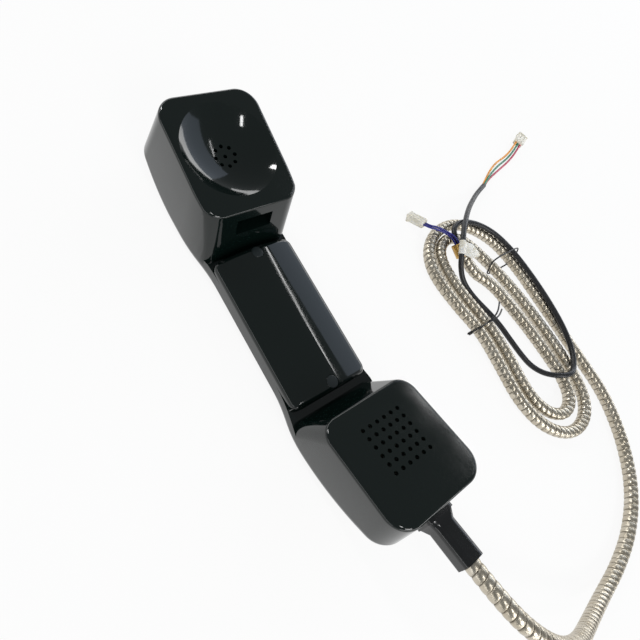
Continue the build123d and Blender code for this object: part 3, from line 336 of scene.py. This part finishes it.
def length_along(line):
    """Distance from a line's start to each of its points."""
    return np.concatenate([[0.0], np.cumsum(np.linalg.norm(np.diff(line, axis=0), axis=1))])


def swept_points(line, along, radius, up=(0.0, 0.0, 1.0)):
    """A circle carried along a line: line(s) + r * (cos t * side + sin t * lift), where s and r are given
    for each row and each column, and t is the column's share of a full turn."""
    far = length_along(line)
    place = np.stack([np.interp(along, far, line[:, axis]) for axis in range(3)], axis=-1)
    heading = np.gradient(line, far, axis=0)
    heading = np.stack([np.interp(along, far, heading[:, axis]) for axis in range(3)], axis=-1)
    heading /= np.linalg.norm(heading, axis=-1, keepdims=True)
    side = np.cross(heading, up)
    side /= np.linalg.norm(side, axis=-1, keepdims=True)
    lift = np.cross(side, heading)
    turn = np.linspace(0, 2 * math.pi, along.shape[1])[None, :, None]
    return place + radius[..., None] * (np.cos(turn) * side + np.sin(turn) * lift)


hose_diameter = 0.0074
strip_pitch = 0.0037
groove_depth = 0.00048
hose_route = [
    (0.12872, 0.0, 0.04355), (0.14592, 0.0, 0.04887), (0.162, 0.006, 0.0485), (0.177, 0.018, 0.042),
    (0.191, 0.036, 0.0295), (0.201, 0.058, 0.0155), (0.206, 0.082, 0.0065), (0.206, 0.106, 0.0039),
    (0.2, 0.13, 0.0037), (0.187, 0.152, 0.0037), (0.167, 0.168, 0.0039), (0.146, 0.1765, 0.0044),
    (0.13, 0.1795, 0.0047), (0.116, 0.1795, 0.0047), (0.09, 0.1795, 0.0047), (0.062, 0.1795, 0.0047),
    (0.035, 0.1792, 0.0047), (0.014, 0.1747, 0.0047), (0.0, 0.1645, 0.0047), (-0.0084, 0.152, 0.0047),
    (-0.0098, 0.138, 0.0047), (-0.0055, 0.124, 0.0047), (0.004, 0.1135, 0.0047), (0.018, 0.109, 0.0047),
    (0.04, 0.1115, 0.0047), (0.06, 0.1162, 0.0047), (0.082, 0.1145, 0.0047), (0.105, 0.1115, 0.0047),
    (0.125, 0.1165, 0.0047), (0.1385, 0.131, 0.0047), (0.1395, 0.149, 0.0047), (0.1285, 0.1625, 0.0047),
    (0.108, 0.1663, 0.0047), (0.08, 0.166, 0.0047), (0.055, 0.164, 0.0047), (0.036, 0.1604, 0.0047),
    (0.02, 0.1555, 0.0047), (0.0055, 0.1497, 0.0047), (-0.0012, 0.1415, 0.0047), (-0.0002, 0.1305, 0.0047),
    (0.0065, 0.1225, 0.0047), (0.02, 0.1195, 0.0047), (0.04, 0.1212, 0.0047), (0.06, 0.1255, 0.0047),
    (0.08, 0.1245, 0.0047), (0.105, 0.1208, 0.0047), (0.1205, 0.1255, 0.0047), (0.1285, 0.1375, 0.0047),
    (0.1245, 0.1497, 0.0047), (0.111, 0.1552, 0.0047), (0.09, 0.1550, 0.0047), (0.073, 0.1538, 0.0047),
    (0.058, 0.1518, 0.0047), (0.038, 0.1488, 0.0047), (0.024, 0.1372, 0.0054), (0.0065, 0.1368, 0.0097),
]
hose_line = line_of(hose_route)
hose_length = length_along(hose_line)[-1]
# The hose is that circle carried along the spline, with its rows wound into a helix: at the share h
# of a turn round it, row p lies at (p - h) * pitch. Its radius is r - groove * (1 - sin(pi p) ^ 0.45).
share_of_turn = np.array([0.0, 0.05, 0.13, 0.28, 0.5, 0.74, 0.88, 0.96])
turns = int(hose_length / strip_pitch) + 2
columns = 20
phase = (np.arange(turns)[:, None] + share_of_turn[None, :]).ravel()[:, None]
helix = np.linspace(0, 1, columns + 1)[None, :]
along = np.clip((phase - helix) * strip_pitch, 0, hose_length)
crown = np.sin(math.pi * (phase % 1.0)) ** 0.45 * np.ones_like(helix)
radius = hose_diameter / 2 - groove_depth * (1 - crown)
along = np.vstack([along[:1] * 0, along, along[-1:] * 0 + hose_length])
radius = np.vstack([radius[:1] * 0, radius, radius[-1:] * 0])
hose = closed_grid("armoured_hose", swept_points(hose_line, along, radius))

# Stainless strip: warm grey metal, rolled and then drawn round the mandrel, which leaves marks of
# about 0.5 mm and blotches of about 6 mm. The grooves are painted dark, as painted shade, and are rougher.
steel, tree = new_finish("stainless_strip")
crown_share = hose.data.attributes.new("crown", "FLOAT", "POINT")
shape = vertices_of(hose.data)
block = 2000  # vertices at a time, to keep the table of distances small
near = np.concatenate([np.linalg.norm(shape[start:start + block, None] - hose_line[None], axis=-1).min(axis=1)
                       for start in range(0, len(shape), block)])
crowned = np.clip(1 - (hose_diameter / 2 - near) / groove_depth, 0, 1)
crown_share.data.foreach_set("value", crowned.astype(np.float32))
place = add_node(tree, "TexCoord").outputs["Object"]
on_crown = add_node(tree, "Attribute", attribute_name="crown").outputs["Fac"]
blotch = add_node(tree, "TexNoise", {"Vector": place, "Scale": 180.0, "Detail": 3.0})
lines = add_node(tree, "TexNoise", {"Vector": place, "Scale": 2200.0, "Detail": 2.0})
# Painted shade: the colour falls from pale grey on the crowns to dark brown in the grooves.
painted_groove_shade = add_node(tree, "ValToRGB", {"Fac": on_crown})
painted_groove_shade.color_ramp.elements[0].color = linear("#3f382c")
painted_groove_shade.color_ramp.elements[1].position = 0.85
painted_groove_shade.color_ramp.elements[1].color = linear("#d9d3c6")
tint = add_node(tree, "Mix", {"Factor": blotch.outputs["Fac"], "A": painted_groove_shade.outputs[0],
                              "B": linear("#c6bdad")}, data_type="RGBA", blend_type="MULTIPLY")
dark = add_node(tree, "MapRange", {"Value": on_crown, "To Min": 0.6, "To Max": 0.3}).outputs[0]
bump = add_node(tree, "Bump", {"Height": lines.outputs["Fac"], "Strength": 0.2, "Distance": 0.00005})
strip = add_node(tree, "BsdfPrincipled", {"Base Color": tint.outputs["Result"], "Metallic": 1.0,
                                          "Roughness": dark, "Normal": bump.outputs[0]})
add_node(tree, "OutputMaterial", {"Surface": strip.outputs[0]})
dress(hose, steel, "hose_steel", "hose_run", "hose_hank", "hose_tail")


# The ferrule is a turned brass cup with a lipped mouth, crimped on the end of the hose so that
# the cut strip can't chafe the cable. The brass is bare and has gone dull where it was handled.
def worn_brass():
    """Turned brass: yellow metal with tool marks of 0.3 mm and brown tarnish in patches of 2.5 mm."""
    finish, tree = new_finish("turned_brass")
    place = add_node(tree, "TexCoord").outputs["Object"]
    tarnish = add_node(tree, "TexNoise", {"Vector": place, "Scale": 400.0, "Detail": 4.0})
    marks = add_node(tree, "TexNoise", {"Vector": place, "Scale": 3000.0, "Detail": 2.0})
    colour = add_node(tree, "ValToRGB", {"Fac": tarnish.outputs["Fac"]})
    colour.color_ramp.elements[0].position = 0.35
    colour.color_ramp.elements[0].color = linear("#8a6a35")
    colour.color_ramp.elements[1].position = 0.65
    colour.color_ramp.elements[1].color = linear("#d3ad68")
    bump = add_node(tree, "Bump", {"Height": marks.outputs["Fac"], "Strength": 0.2, "Distance": 0.00005})
    metal = add_node(tree, "BsdfPrincipled", {"Base Color": colour.outputs[0], "Metallic": 1.0,
                                              "Roughness": 0.34, "Normal": bump.outputs[0]})
    add_node(tree, "OutputMaterial", {"Surface": metal.outputs[0]})
    return finish


brass = worn_brass()
ferrule = dress(smooth_copy("hose_ferrule"), brass, "brass_fitting", "hose_ferrule")


# The signal cable runs inside the hose, in a dark PVC jacket. Past the ferrule it goes round the
# hank once, then leaves it through the tag. Its three wires come out of it into one connector.
def vinyl(name, colour, roughness):
    """Extruded PVC: an even colour, with a faint mottle of about 3 mm in its shade, gloss and height."""
    finish, tree = new_finish(name)
    place = add_node(tree, "TexCoord").outputs["Object"]
    mottle = add_node(tree, "TexNoise", {"Vector": place, "Scale": 300.0, "Detail": 3.0})
    shade = add_node(tree, "MapRange", {"Value": mottle.outputs["Fac"], "From Min": 0.3, "From Max": 0.7,
                                        "To Min": 0.82, "To Max": 1.08})
    tone = add_node(tree, "HueSaturation", {"Color": linear(colour), "Value": shade.outputs[0]})
    rough = add_node(tree, "MapRange", {"Value": mottle.outputs["Fac"], "To Min": roughness - 0.08,
                                        "To Max": roughness + 0.08})
    bump = add_node(tree, "Bump", {"Height": mottle.outputs["Fac"], "Strength": 0.15, "Distance": 0.0001})
    skin = add_node(tree, "BsdfPrincipled", {"Base Color": tone.outputs[0], "Roughness": rough.outputs[0],
                                             "IOR": 1.52, "Normal": bump.outputs[0]})
    add_node(tree, "OutputMaterial", {"Surface": skin.outputs[0]})
    return finish


cable_diameter = 0.0034
cable_route = [
    (0.0065, 0.1368, 0.0097), (0.00019, 0.13666, 0.01125), (-0.0042, 0.1398, 0.0114),
    (-0.0066, 0.146, 0.0109), (-0.0062, 0.153, 0.0104), (-0.0032, 0.16, 0.0103), (0.0022, 0.1668, 0.0103),
    (0.0095, 0.1724, 0.0103),
    (0.019, 0.1762, 0.0103), (0.032, 0.1788, 0.0103), (0.05, 0.1798, 0.0103), (0.07, 0.179, 0.0103),
    (0.088, 0.176, 0.0103), (0.102, 0.1695, 0.0105), (0.1095, 0.161, 0.0108), (0.1103, 0.154, 0.0122),
    (0.108, 0.1475, 0.0106), (0.1026, 0.1426, 0.0054), (0.095, 0.14, 0.0021), (0.086, 0.1384, 0.0018),
    (0.074, 0.1376, 0.0018), (0.062, 0.137, 0.0018), (0.052, 0.1346, 0.0018), (0.043, 0.1318, 0.0018),
    (0.034, 0.1304, 0.0018), (0.0265, 0.1286, 0.0044), (0.02, 0.1274, 0.0095), (0.015, 0.1274, 0.0142),
    (0.0105, 0.1295, 0.017), (0.0055, 0.134, 0.0176), (0.0005, 0.14, 0.017), (-0.0045, 0.1475, 0.0156),
    (-0.0095, 0.1565, 0.0132), (-0.0145, 0.168, 0.0092), (-0.0195, 0.1815, 0.005), (-0.024, 0.1935, 0.0025),
    (-0.0275, 0.2055, 0.0018),
]
cable = dress(spline_piece("signal_cable_jacket", cable_route, cable_diameter / 2),
              vinyl("cable_jacket", "#141518", 0.42), "cable_jacket", "signal_cable")
cable_length = length_along(line_of(cable_route))[-1]

wire_diameter = 0.0015
wire_routes = {
    "orange": [(-0.02818, 0.20518, 0.00137), (-0.03129, 0.21168, 0.00137), (-0.03687, 0.22279, 0.00085),
               (-0.04168, 0.23567, 0.0008), (-0.04366, 0.24958, 0.0009), (-0.0475, 0.26186, 0.0025),
               (-0.05223, 0.2727, 0.0025)],
    "green": [(-0.0275, 0.2055, 0.00267), (-0.03061, 0.212, 0.00267), (-0.035, 0.2235, 0.0012),
              (-0.0389, 0.2365, 0.0008), (-0.0414, 0.25, 0.00085), (-0.0456, 0.2625, 0.0025),
              (-0.0504, 0.2735, 0.0025)],
    "red": [(-0.02682, 0.20582, 0.00137), (-0.02993, 0.21232, 0.00137), (-0.03313, 0.22421, 0.00085),
            (-0.03612, 0.23733, 0.0008), (-0.03914, 0.25042, 0.0009), (-0.0437, 0.26314, 0.0025),
            (-0.04857, 0.2743, 0.0025)],
}
wire_colours = {"orange": "#f09c1c", "green": "#0f8160", "red": "#c11f4b"}
for name, route in wire_routes.items():
    dress(spline_piece(name + "_wire_skin", route, wire_diameter / 2),
                        vinyl(name + "_insulation", wire_colours[name], 0.38), "wire_" + name, name + "_wire")

blue_diameter = 0.0013
blue_routes = {
    "one": [(0.00612, 0.13509, 0.01217), (0.00223, 0.135, 0.01313), (-0.0036, 0.1325, 0.0119),
            (-0.0098, 0.1277, 0.0113), (-0.0121, 0.1235, 0.01077), (-0.01564, 0.12299, 0.009)],
    "two": [(0.00574, 0.13388, 0.01052), (0.00185, 0.13379, 0.01148), (-0.0036, 0.1307, 0.0119),
            (-0.0082, 0.1263, 0.0113), (-0.01181, 0.12153, 0.01077), (-0.01536, 0.12101, 0.009)],
}
blue_insulation = vinyl("blue_insulation", "#2a2a86", 0.38)
for name, route in blue_routes.items():
    dress(spline_piece("blue_wire_" + name + "_skin", route, blue_diameter / 2),
                            blue_insulation, "wire_blue", "blue_wire_" + name)


# The housings on the wires are moulded in natural nylon, a milky off-white that lets a
# little light in. The blank tag is a strip of film, folded round the cable onto itself.
def natural_nylon(name, colour, roughness, depth):
    """Milky plastic or film: off-white, soft in its shadows, with faint yellowing in 4 mm patches."""
    finish, tree = new_finish(name)
    place = add_node(tree, "TexCoord").outputs["Object"]
    patch = add_node(tree, "TexNoise", {"Vector": place, "Scale": 250.0, "Detail": 3.0})
    colours = add_node(tree, "ValToRGB", {"Fac": patch.outputs["Fac"]})
    colours.color_ramp.elements[0].position = 0.3
    colours.color_ramp.elements[0].color = linear("#d9d3c2")
    colours.color_ramp.elements[1].position = 0.7
    colours.color_ramp.elements[1].color = linear(colour)
    bump = add_node(tree, "Bump", {"Height": patch.outputs["Fac"], "Strength": 0.2, "Distance": 0.0001})
    skin = add_node(tree, "BsdfPrincipled", {
        "Base Color": colours.outputs[0], "Roughness": roughness, "IOR": 1.53, "Normal": bump.outputs[0],
        "Subsurface Weight": 0.25, "Subsurface Scale": depth, "Subsurface Radius": (1.0, 0.9, 0.7)})
    add_node(tree, "OutputMaterial", {"Surface": skin.outputs[0]})
    return finish


nylon = natural_nylon("natural_nylon", "#efece2", 0.4, 0.001)
box_power = 9
pocket_depth = 0.004
latch_groove_depth = 0.0005
latch_groove_half = 0.00034


def moulded_housing(name, back, front, across, width, high, grooves):
    """A rounded box carried from back to front. Its section is |2a/width|^n + |2b/high|^n = 1, where n is
    box_power, spaced evenly, and each row scales it: a lip goes round the front, and a pocket runs in
    from there. A row is a distance, a scale and a groove share. Where that share is one, the top dips
    by a bell curve at each groove's place across."""
    aim = np.array(front) - np.array(back)
    length = np.linalg.norm(aim)
    aim /= length
    across = across - aim * (across @ aim)
    across /= np.linalg.norm(across)
    lift = np.cross(across, aim)
    lift *= np.sign(lift[2])
    turn = np.linspace(0, 2 * math.pi, 4001)
    corner = [np.sign(wave) * np.abs(wave) ** (2 / box_power) for wave in (np.cos(turn), np.sin(turn))]
    outline = np.column_stack([corner[0] * width / 2, corner[1] * high / 2])
    far = length_along(outline)
    even = np.linspace(0, far[-1], 121)
    section = np.column_stack([np.interp(even, far, outline[:, 0]), np.interp(even, far, outline[:, 1])])
    rows = np.array([(0, 0, 0), (0, 0.88, 0), (0.0003, 1, 0), (0.0011, 1, 0), (0.0013, 1, 1),
                     (length - 0.0027, 1, 1), (length - 0.0025, 1, 0), (length - 0.0015, 1, 0),
                     (length - 0.0014, 1.1, 0), (length - 0.0003, 1.1, 0), (length, 1.04, 0),
                     (length, 0.76, 0), (length - pocket_depth, 0.72, 0), (length - pocket_depth, 0, 0)])
    dips = sum(np.exp(-((section[:, 0] - place) / latch_groove_half) ** 2) for place in grooves)
    dips = dips * (section[:, 1] > 0.4 * high)
    side = rows[:, 1:2] * section[:, 0]
    rise = rows[:, 1:2] * section[:, 1] - latch_groove_depth * rows[:, 2:3] * dips
    return closed_grid(name, np.array(back) + rows[:, :1, None] * aim + side[..., None] * across
                       + rise[..., None] * lift)


housing = moulded_housing("wire_housing_skin", (-0.0502, 0.2731, 0.0026), (-0.05505, 0.2842, 0.0026),
                          np.array([0.916, 0.401, 0.0]), 0.0078, 0.0046, (-0.0014, 0.0014))
dress(housing, nylon, "housing_nylon", "wire_housing")
blue_housing = moulded_housing("blue_housing_skin", (-0.0152, 0.12205, 0.00915), (-0.026, 0.1205, 0.0032),
                               np.array([0.1436, -0.9896, 0.0]), 0.0054, 0.005, (-0.0011, 0.0011))
dress(blue_housing, nylon, "housing_nylon", "blue_housing")


film_thickness = 0.00014
layer_gap = 0.00009
pinch = 0.0016


def folded_film(name, fold, along, out, reach, half_width, bore):
    """A strip folded round a cable. Its section runs in from the tip on top, half round the cable, and back
    out below. At the distance d out, each layer is bore * exp(-(d / pinch)^2) + layer_gap from the
    middle, which sags by 10 d^2. Past 0.55 of the reach it narrows, to a blunt point with a bowed end."""
    distance = np.linspace(reach, 0, 22)
    height = bore * np.exp(-(distance / pinch) ** 2) + layer_gap
    bend = np.linspace(0.5, 1.5, 15)[1:-1] * math.pi
    section = np.vstack([np.column_stack([distance, height]),
                         np.column_stack([np.cos(bend), np.sin(bend)]) * (bore + layer_gap),
                         np.column_stack([distance, -height])[::-1]])
    sag = -10.0 * np.maximum(section[:, 0], 0) ** 2
    shoulder = np.clip((section[:, 0] - 0.55 * reach) / (0.45 * reach), 0, 1)
    half = half_width * (1 - 0.62 * shoulder)
    share = np.linspace(-1, 1, 13)
    up = np.cross(out, along)
    points = (fold + section[:, None, :1] * out + (section[:, 1] + sag)[:, None, None] * up
              + (half[:, None] * share)[..., None] * along)
    points = points - (0.0011 * (share ** 2) * shoulder[:, None])[..., None] * out
    return closed_grid(name, points)


def unit(x, y, z):
    """The direction of a vector, as an array."""
    return np.array([x, y, z]) / math.sqrt(x * x + y * y + z * z)


tag_along = unit(-0.0095, 0.0066, 0.0034)
tag_out = unit(*np.cross(tag_along, unit(0.25, -0.1, 1.0)))
tag_out *= np.sign(tag_out[1])
tag = folded_film("cable_tag_film", np.array([0.0103, 0.1298, 0.0169]), tag_along, tag_out,
                  0.0165, 0.0044, 0.0019)
thicken = tag.modifiers.new("film", "SOLIDIFY")
thicken.thickness = film_thickness
thicken.offset = 0.0
dress(tag, natural_nylon("tag_film", "#f1efe8", 0.3, 0.0004), "tag_vinyl", "cable_tag")


# The ties are two lengths of steel wire in a black vinyl coat, each bent round some turns of the
# hank. The near one is twisted tight, and its two ends lie across the hank.
def swept_wire(name, line, thickness, up):
    """A round wire along a line, with closed ends."""
    far = length_along(line)
    along = np.concatenate([[0.0], far, [far[-1]]])[:, None] * np.ones((1, 13))
    radius = np.full(along.shape, thickness / 2)
    radius[0] = radius[-1] = 0
    return closed_grid(name, swept_points(line, along, radius, up))


def loop_line(x, low, high, bottom, top, lean, corner):
    """A tie's loop, in Y and Z: |y|^(2/c) + |z|^(2/c) = 1, scaled to the loop's box, where c is the corner.
    A small corner makes it squarer. Its top leans along X."""
    turn = np.linspace(0.5 * math.pi, 2.5 * math.pi, 97)
    cosine, sine = np.cos(turn), np.sin(turn)
    y = (low + high) / 2 + np.sign(cosine) * np.abs(cosine) ** corner * (high - low) / 2
    z = (bottom + top) / 2 + np.sign(sine) * np.abs(sine) ** corner * (top - bottom) / 2
    return np.column_stack([x + lean * (z - bottom) / (top - bottom), y, z])


tie_coat = vinyl("tie_coat", "#131314", 0.35)
tie_thickness = 0.001
near_tie_x = 0.0575
near_tie = swept_wire("near_tie_loop", loop_line(near_tie_x, 0.1109, 0.1295, 0.0005, 0.0089, 0.0, 0.35),
                      tie_thickness, (1.0, 0.0, 0.0))
dress(near_tie, tie_coat, "tie_black", "near_tie")
# The twist is two strands round one axis, x = X + r cos t and z = Z + r sin t, that runs towards -Y.
strand_radius = 0.00052
twist_length = 0.0035
knob_turn = np.linspace(0, 4.5 * math.pi, 60)
for name, side in (("near_tie_twist_one", 1.0), ("near_tie_twist_two", -1.0)):
    twist = np.column_stack([near_tie_x + side * strand_radius * np.cos(knob_turn),
                             0.1107 - twist_length * knob_turn / knob_turn[-1],
                             0.0042 + side * strand_radius * np.sin(knob_turn)])
    strand = swept_wire(name, twist, tie_thickness, (0.0, 0.0, 1.0))
    dress(strand, tie_coat, "tie_black")
near_tie_ends = {
    "near_tie_end_one": [(0.0574, 0.1225, 0.0092), (0.0566, 0.127, 0.0102), (0.055, 0.132, 0.0104),
                         (0.0526, 0.137, 0.0094), (0.0505, 0.1405, 0.0086)],
    "near_tie_end_two": [(0.0576, 0.123, 0.0092), (0.0578, 0.128, 0.0099), (0.0574, 0.132, 0.0096),
                         (0.0564, 0.1365, 0.0084), (0.0552, 0.14, 0.0074)],
}
for name, route in near_tie_ends.items():
    strand = swept_wire(name, line_of(route), tie_thickness, (1.0, 0.0, 0.0))
    dress(strand, tie_coat, "tie_black")
far_tie = swept_wire("far_tie_loop", loop_line(0.0315, 0.1531, 0.1843, 0.0005, 0.0125, -0.006, 0.5),
                     tie_thickness, (1.0, 0.0, 0.0))
dress(far_tie, tie_coat, "tie_black", "far_tie")


# What the handset holds: the receiver and microphone in bright tins behind foam rings, steel
# bars and screws that hold them, a steel weight on its pad, the clamp of the cord, and leads.
def sheet_metal(name, colour, roughness, grain):
    """Rolled or plated steel and tin: grey metal, with a grain that is given in lines per metre and
    is 20 times as long as it is wide."""
    finish, tree = new_finish(name)
    place = add_node(tree, "TexCoord").outputs["Object"]
    rolled = add_node(tree, "Mapping", {"Vector": place, "Scale": (grain * 0.05, grain, grain)})
    lines = add_node(tree, "TexNoise", {"Vector": rolled.outputs[0], "Scale": 1.0, "Detail": 2.0})
    rough = add_node(tree, "MapRange", {"Value": lines.outputs["Fac"], "To Min": roughness - 0.1,
                                        "To Max": roughness + 0.1})
    bump = add_node(tree, "Bump", {"Height": lines.outputs["Fac"], "Strength": 0.1, "Distance": 0.00005})
    metal = add_node(tree, "BsdfPrincipled", {"Base Color": linear(colour), "Metallic": 1.0,
                                              "Roughness": rough.outputs[0], "Normal": bump.outputs[0]})
    add_node(tree, "OutputMaterial", {"Surface": metal.outputs[0]})
    return finish


def open_foam(name, colour, cell):
    """Foam or cloth: a dull surface of small open cells or threads, whose size is given. The pits of the
    cells are painted darker and their walls lighter, as painted shade.
    """
    finish, tree = new_finish(name)
    place = add_node(tree, "TexCoord").outputs["Object"]
    cells = add_node(tree, "TexVoronoi", {"Vector": place, "Scale": 1 / cell})
    # Painted shade: the tone is darkest in the cells' pits and lighter on their walls.
    shade = add_node(tree, "MapRange", {"Value": cells.outputs["Distance"], "To Min": 0.5, "To Max": 1.2})
    tone = add_node(tree, "HueSaturation", {"Color": linear(colour), "Value": shade.outputs[0]})
    bump = add_node(tree, "Bump", {"Height": cells.outputs["Distance"], "Strength": 0.6,
                                   "Distance": cell / 4})
    skin = add_node(tree, "BsdfPrincipled", {"Base Color": tone.outputs[0], "Roughness": 0.9,
                                             "Normal": bump.outputs[0]})
    add_node(tree, "OutputMaterial", {"Surface": skin.outputs[0]})
    return finish


inner_finishes = [
    (moulded_rubber("seal_rubber", "#0e0e0e", 0.5), ["ear_cap_seal", "mouth_cap_seal"]),
    (open_foam("open_foam", "#2c2c2f", 0.0006),
     ["receiver_gasket", "microphone_gasket", "weight_pad"]),
    (open_foam("dust_cloth", "#1b1b1c", 0.0003), ["receiver_membrane"]),
    (natural_nylon("splash_film", "#dcdcda", 0.35, 0.0003), ["microphone_membrane"]),
    (sheet_metal("bright_tin", "#bdbdb8", 0.25, 900.0),
     ["receiver_capsule", "microphone_capsule"]),
    (sheet_metal("zinc_plate", "#9b9c9c", 0.42, 1500.0),
     ["receiver_retainer", "microphone_retainer", "balance_weight", "cord_anchor"]),
    (sheet_metal("zinc_screws", "#aaaaa8", 0.3, 3000.0),
     ["receiver_screws", "microphone_screws", "ear_cap_screw", "mouth_cap_screw",
      "anchor_screws", "lanyard_screw"]),
    (brass, ["cord_stop", "lanyard_eyelet"]),
    (sheet_metal("hose_stub", "#a29c8e", 0.35, 2000.0), ["hose_end"]),
    (sheet_metal("stranded_wire", "#8d8d8d", 0.38, 4000.0), ["lanyard"]),
    (vinyl("red_lead", "#b01c1c", 0.4), ["receiver_lead_one"]),
    (vinyl("white_lead", "#d9d9d2", 0.4), ["receiver_lead_two"]),
    (vinyl("green_lead", "#1c7339", 0.4), ["microphone_lead_one"]),
    (vinyl("black_lead", "#161616", 0.4), ["microphone_lead_two"]),
]
for finish, members in inner_finishes:
    for node in members:
        nodes[node].material_slots[0].material = finish
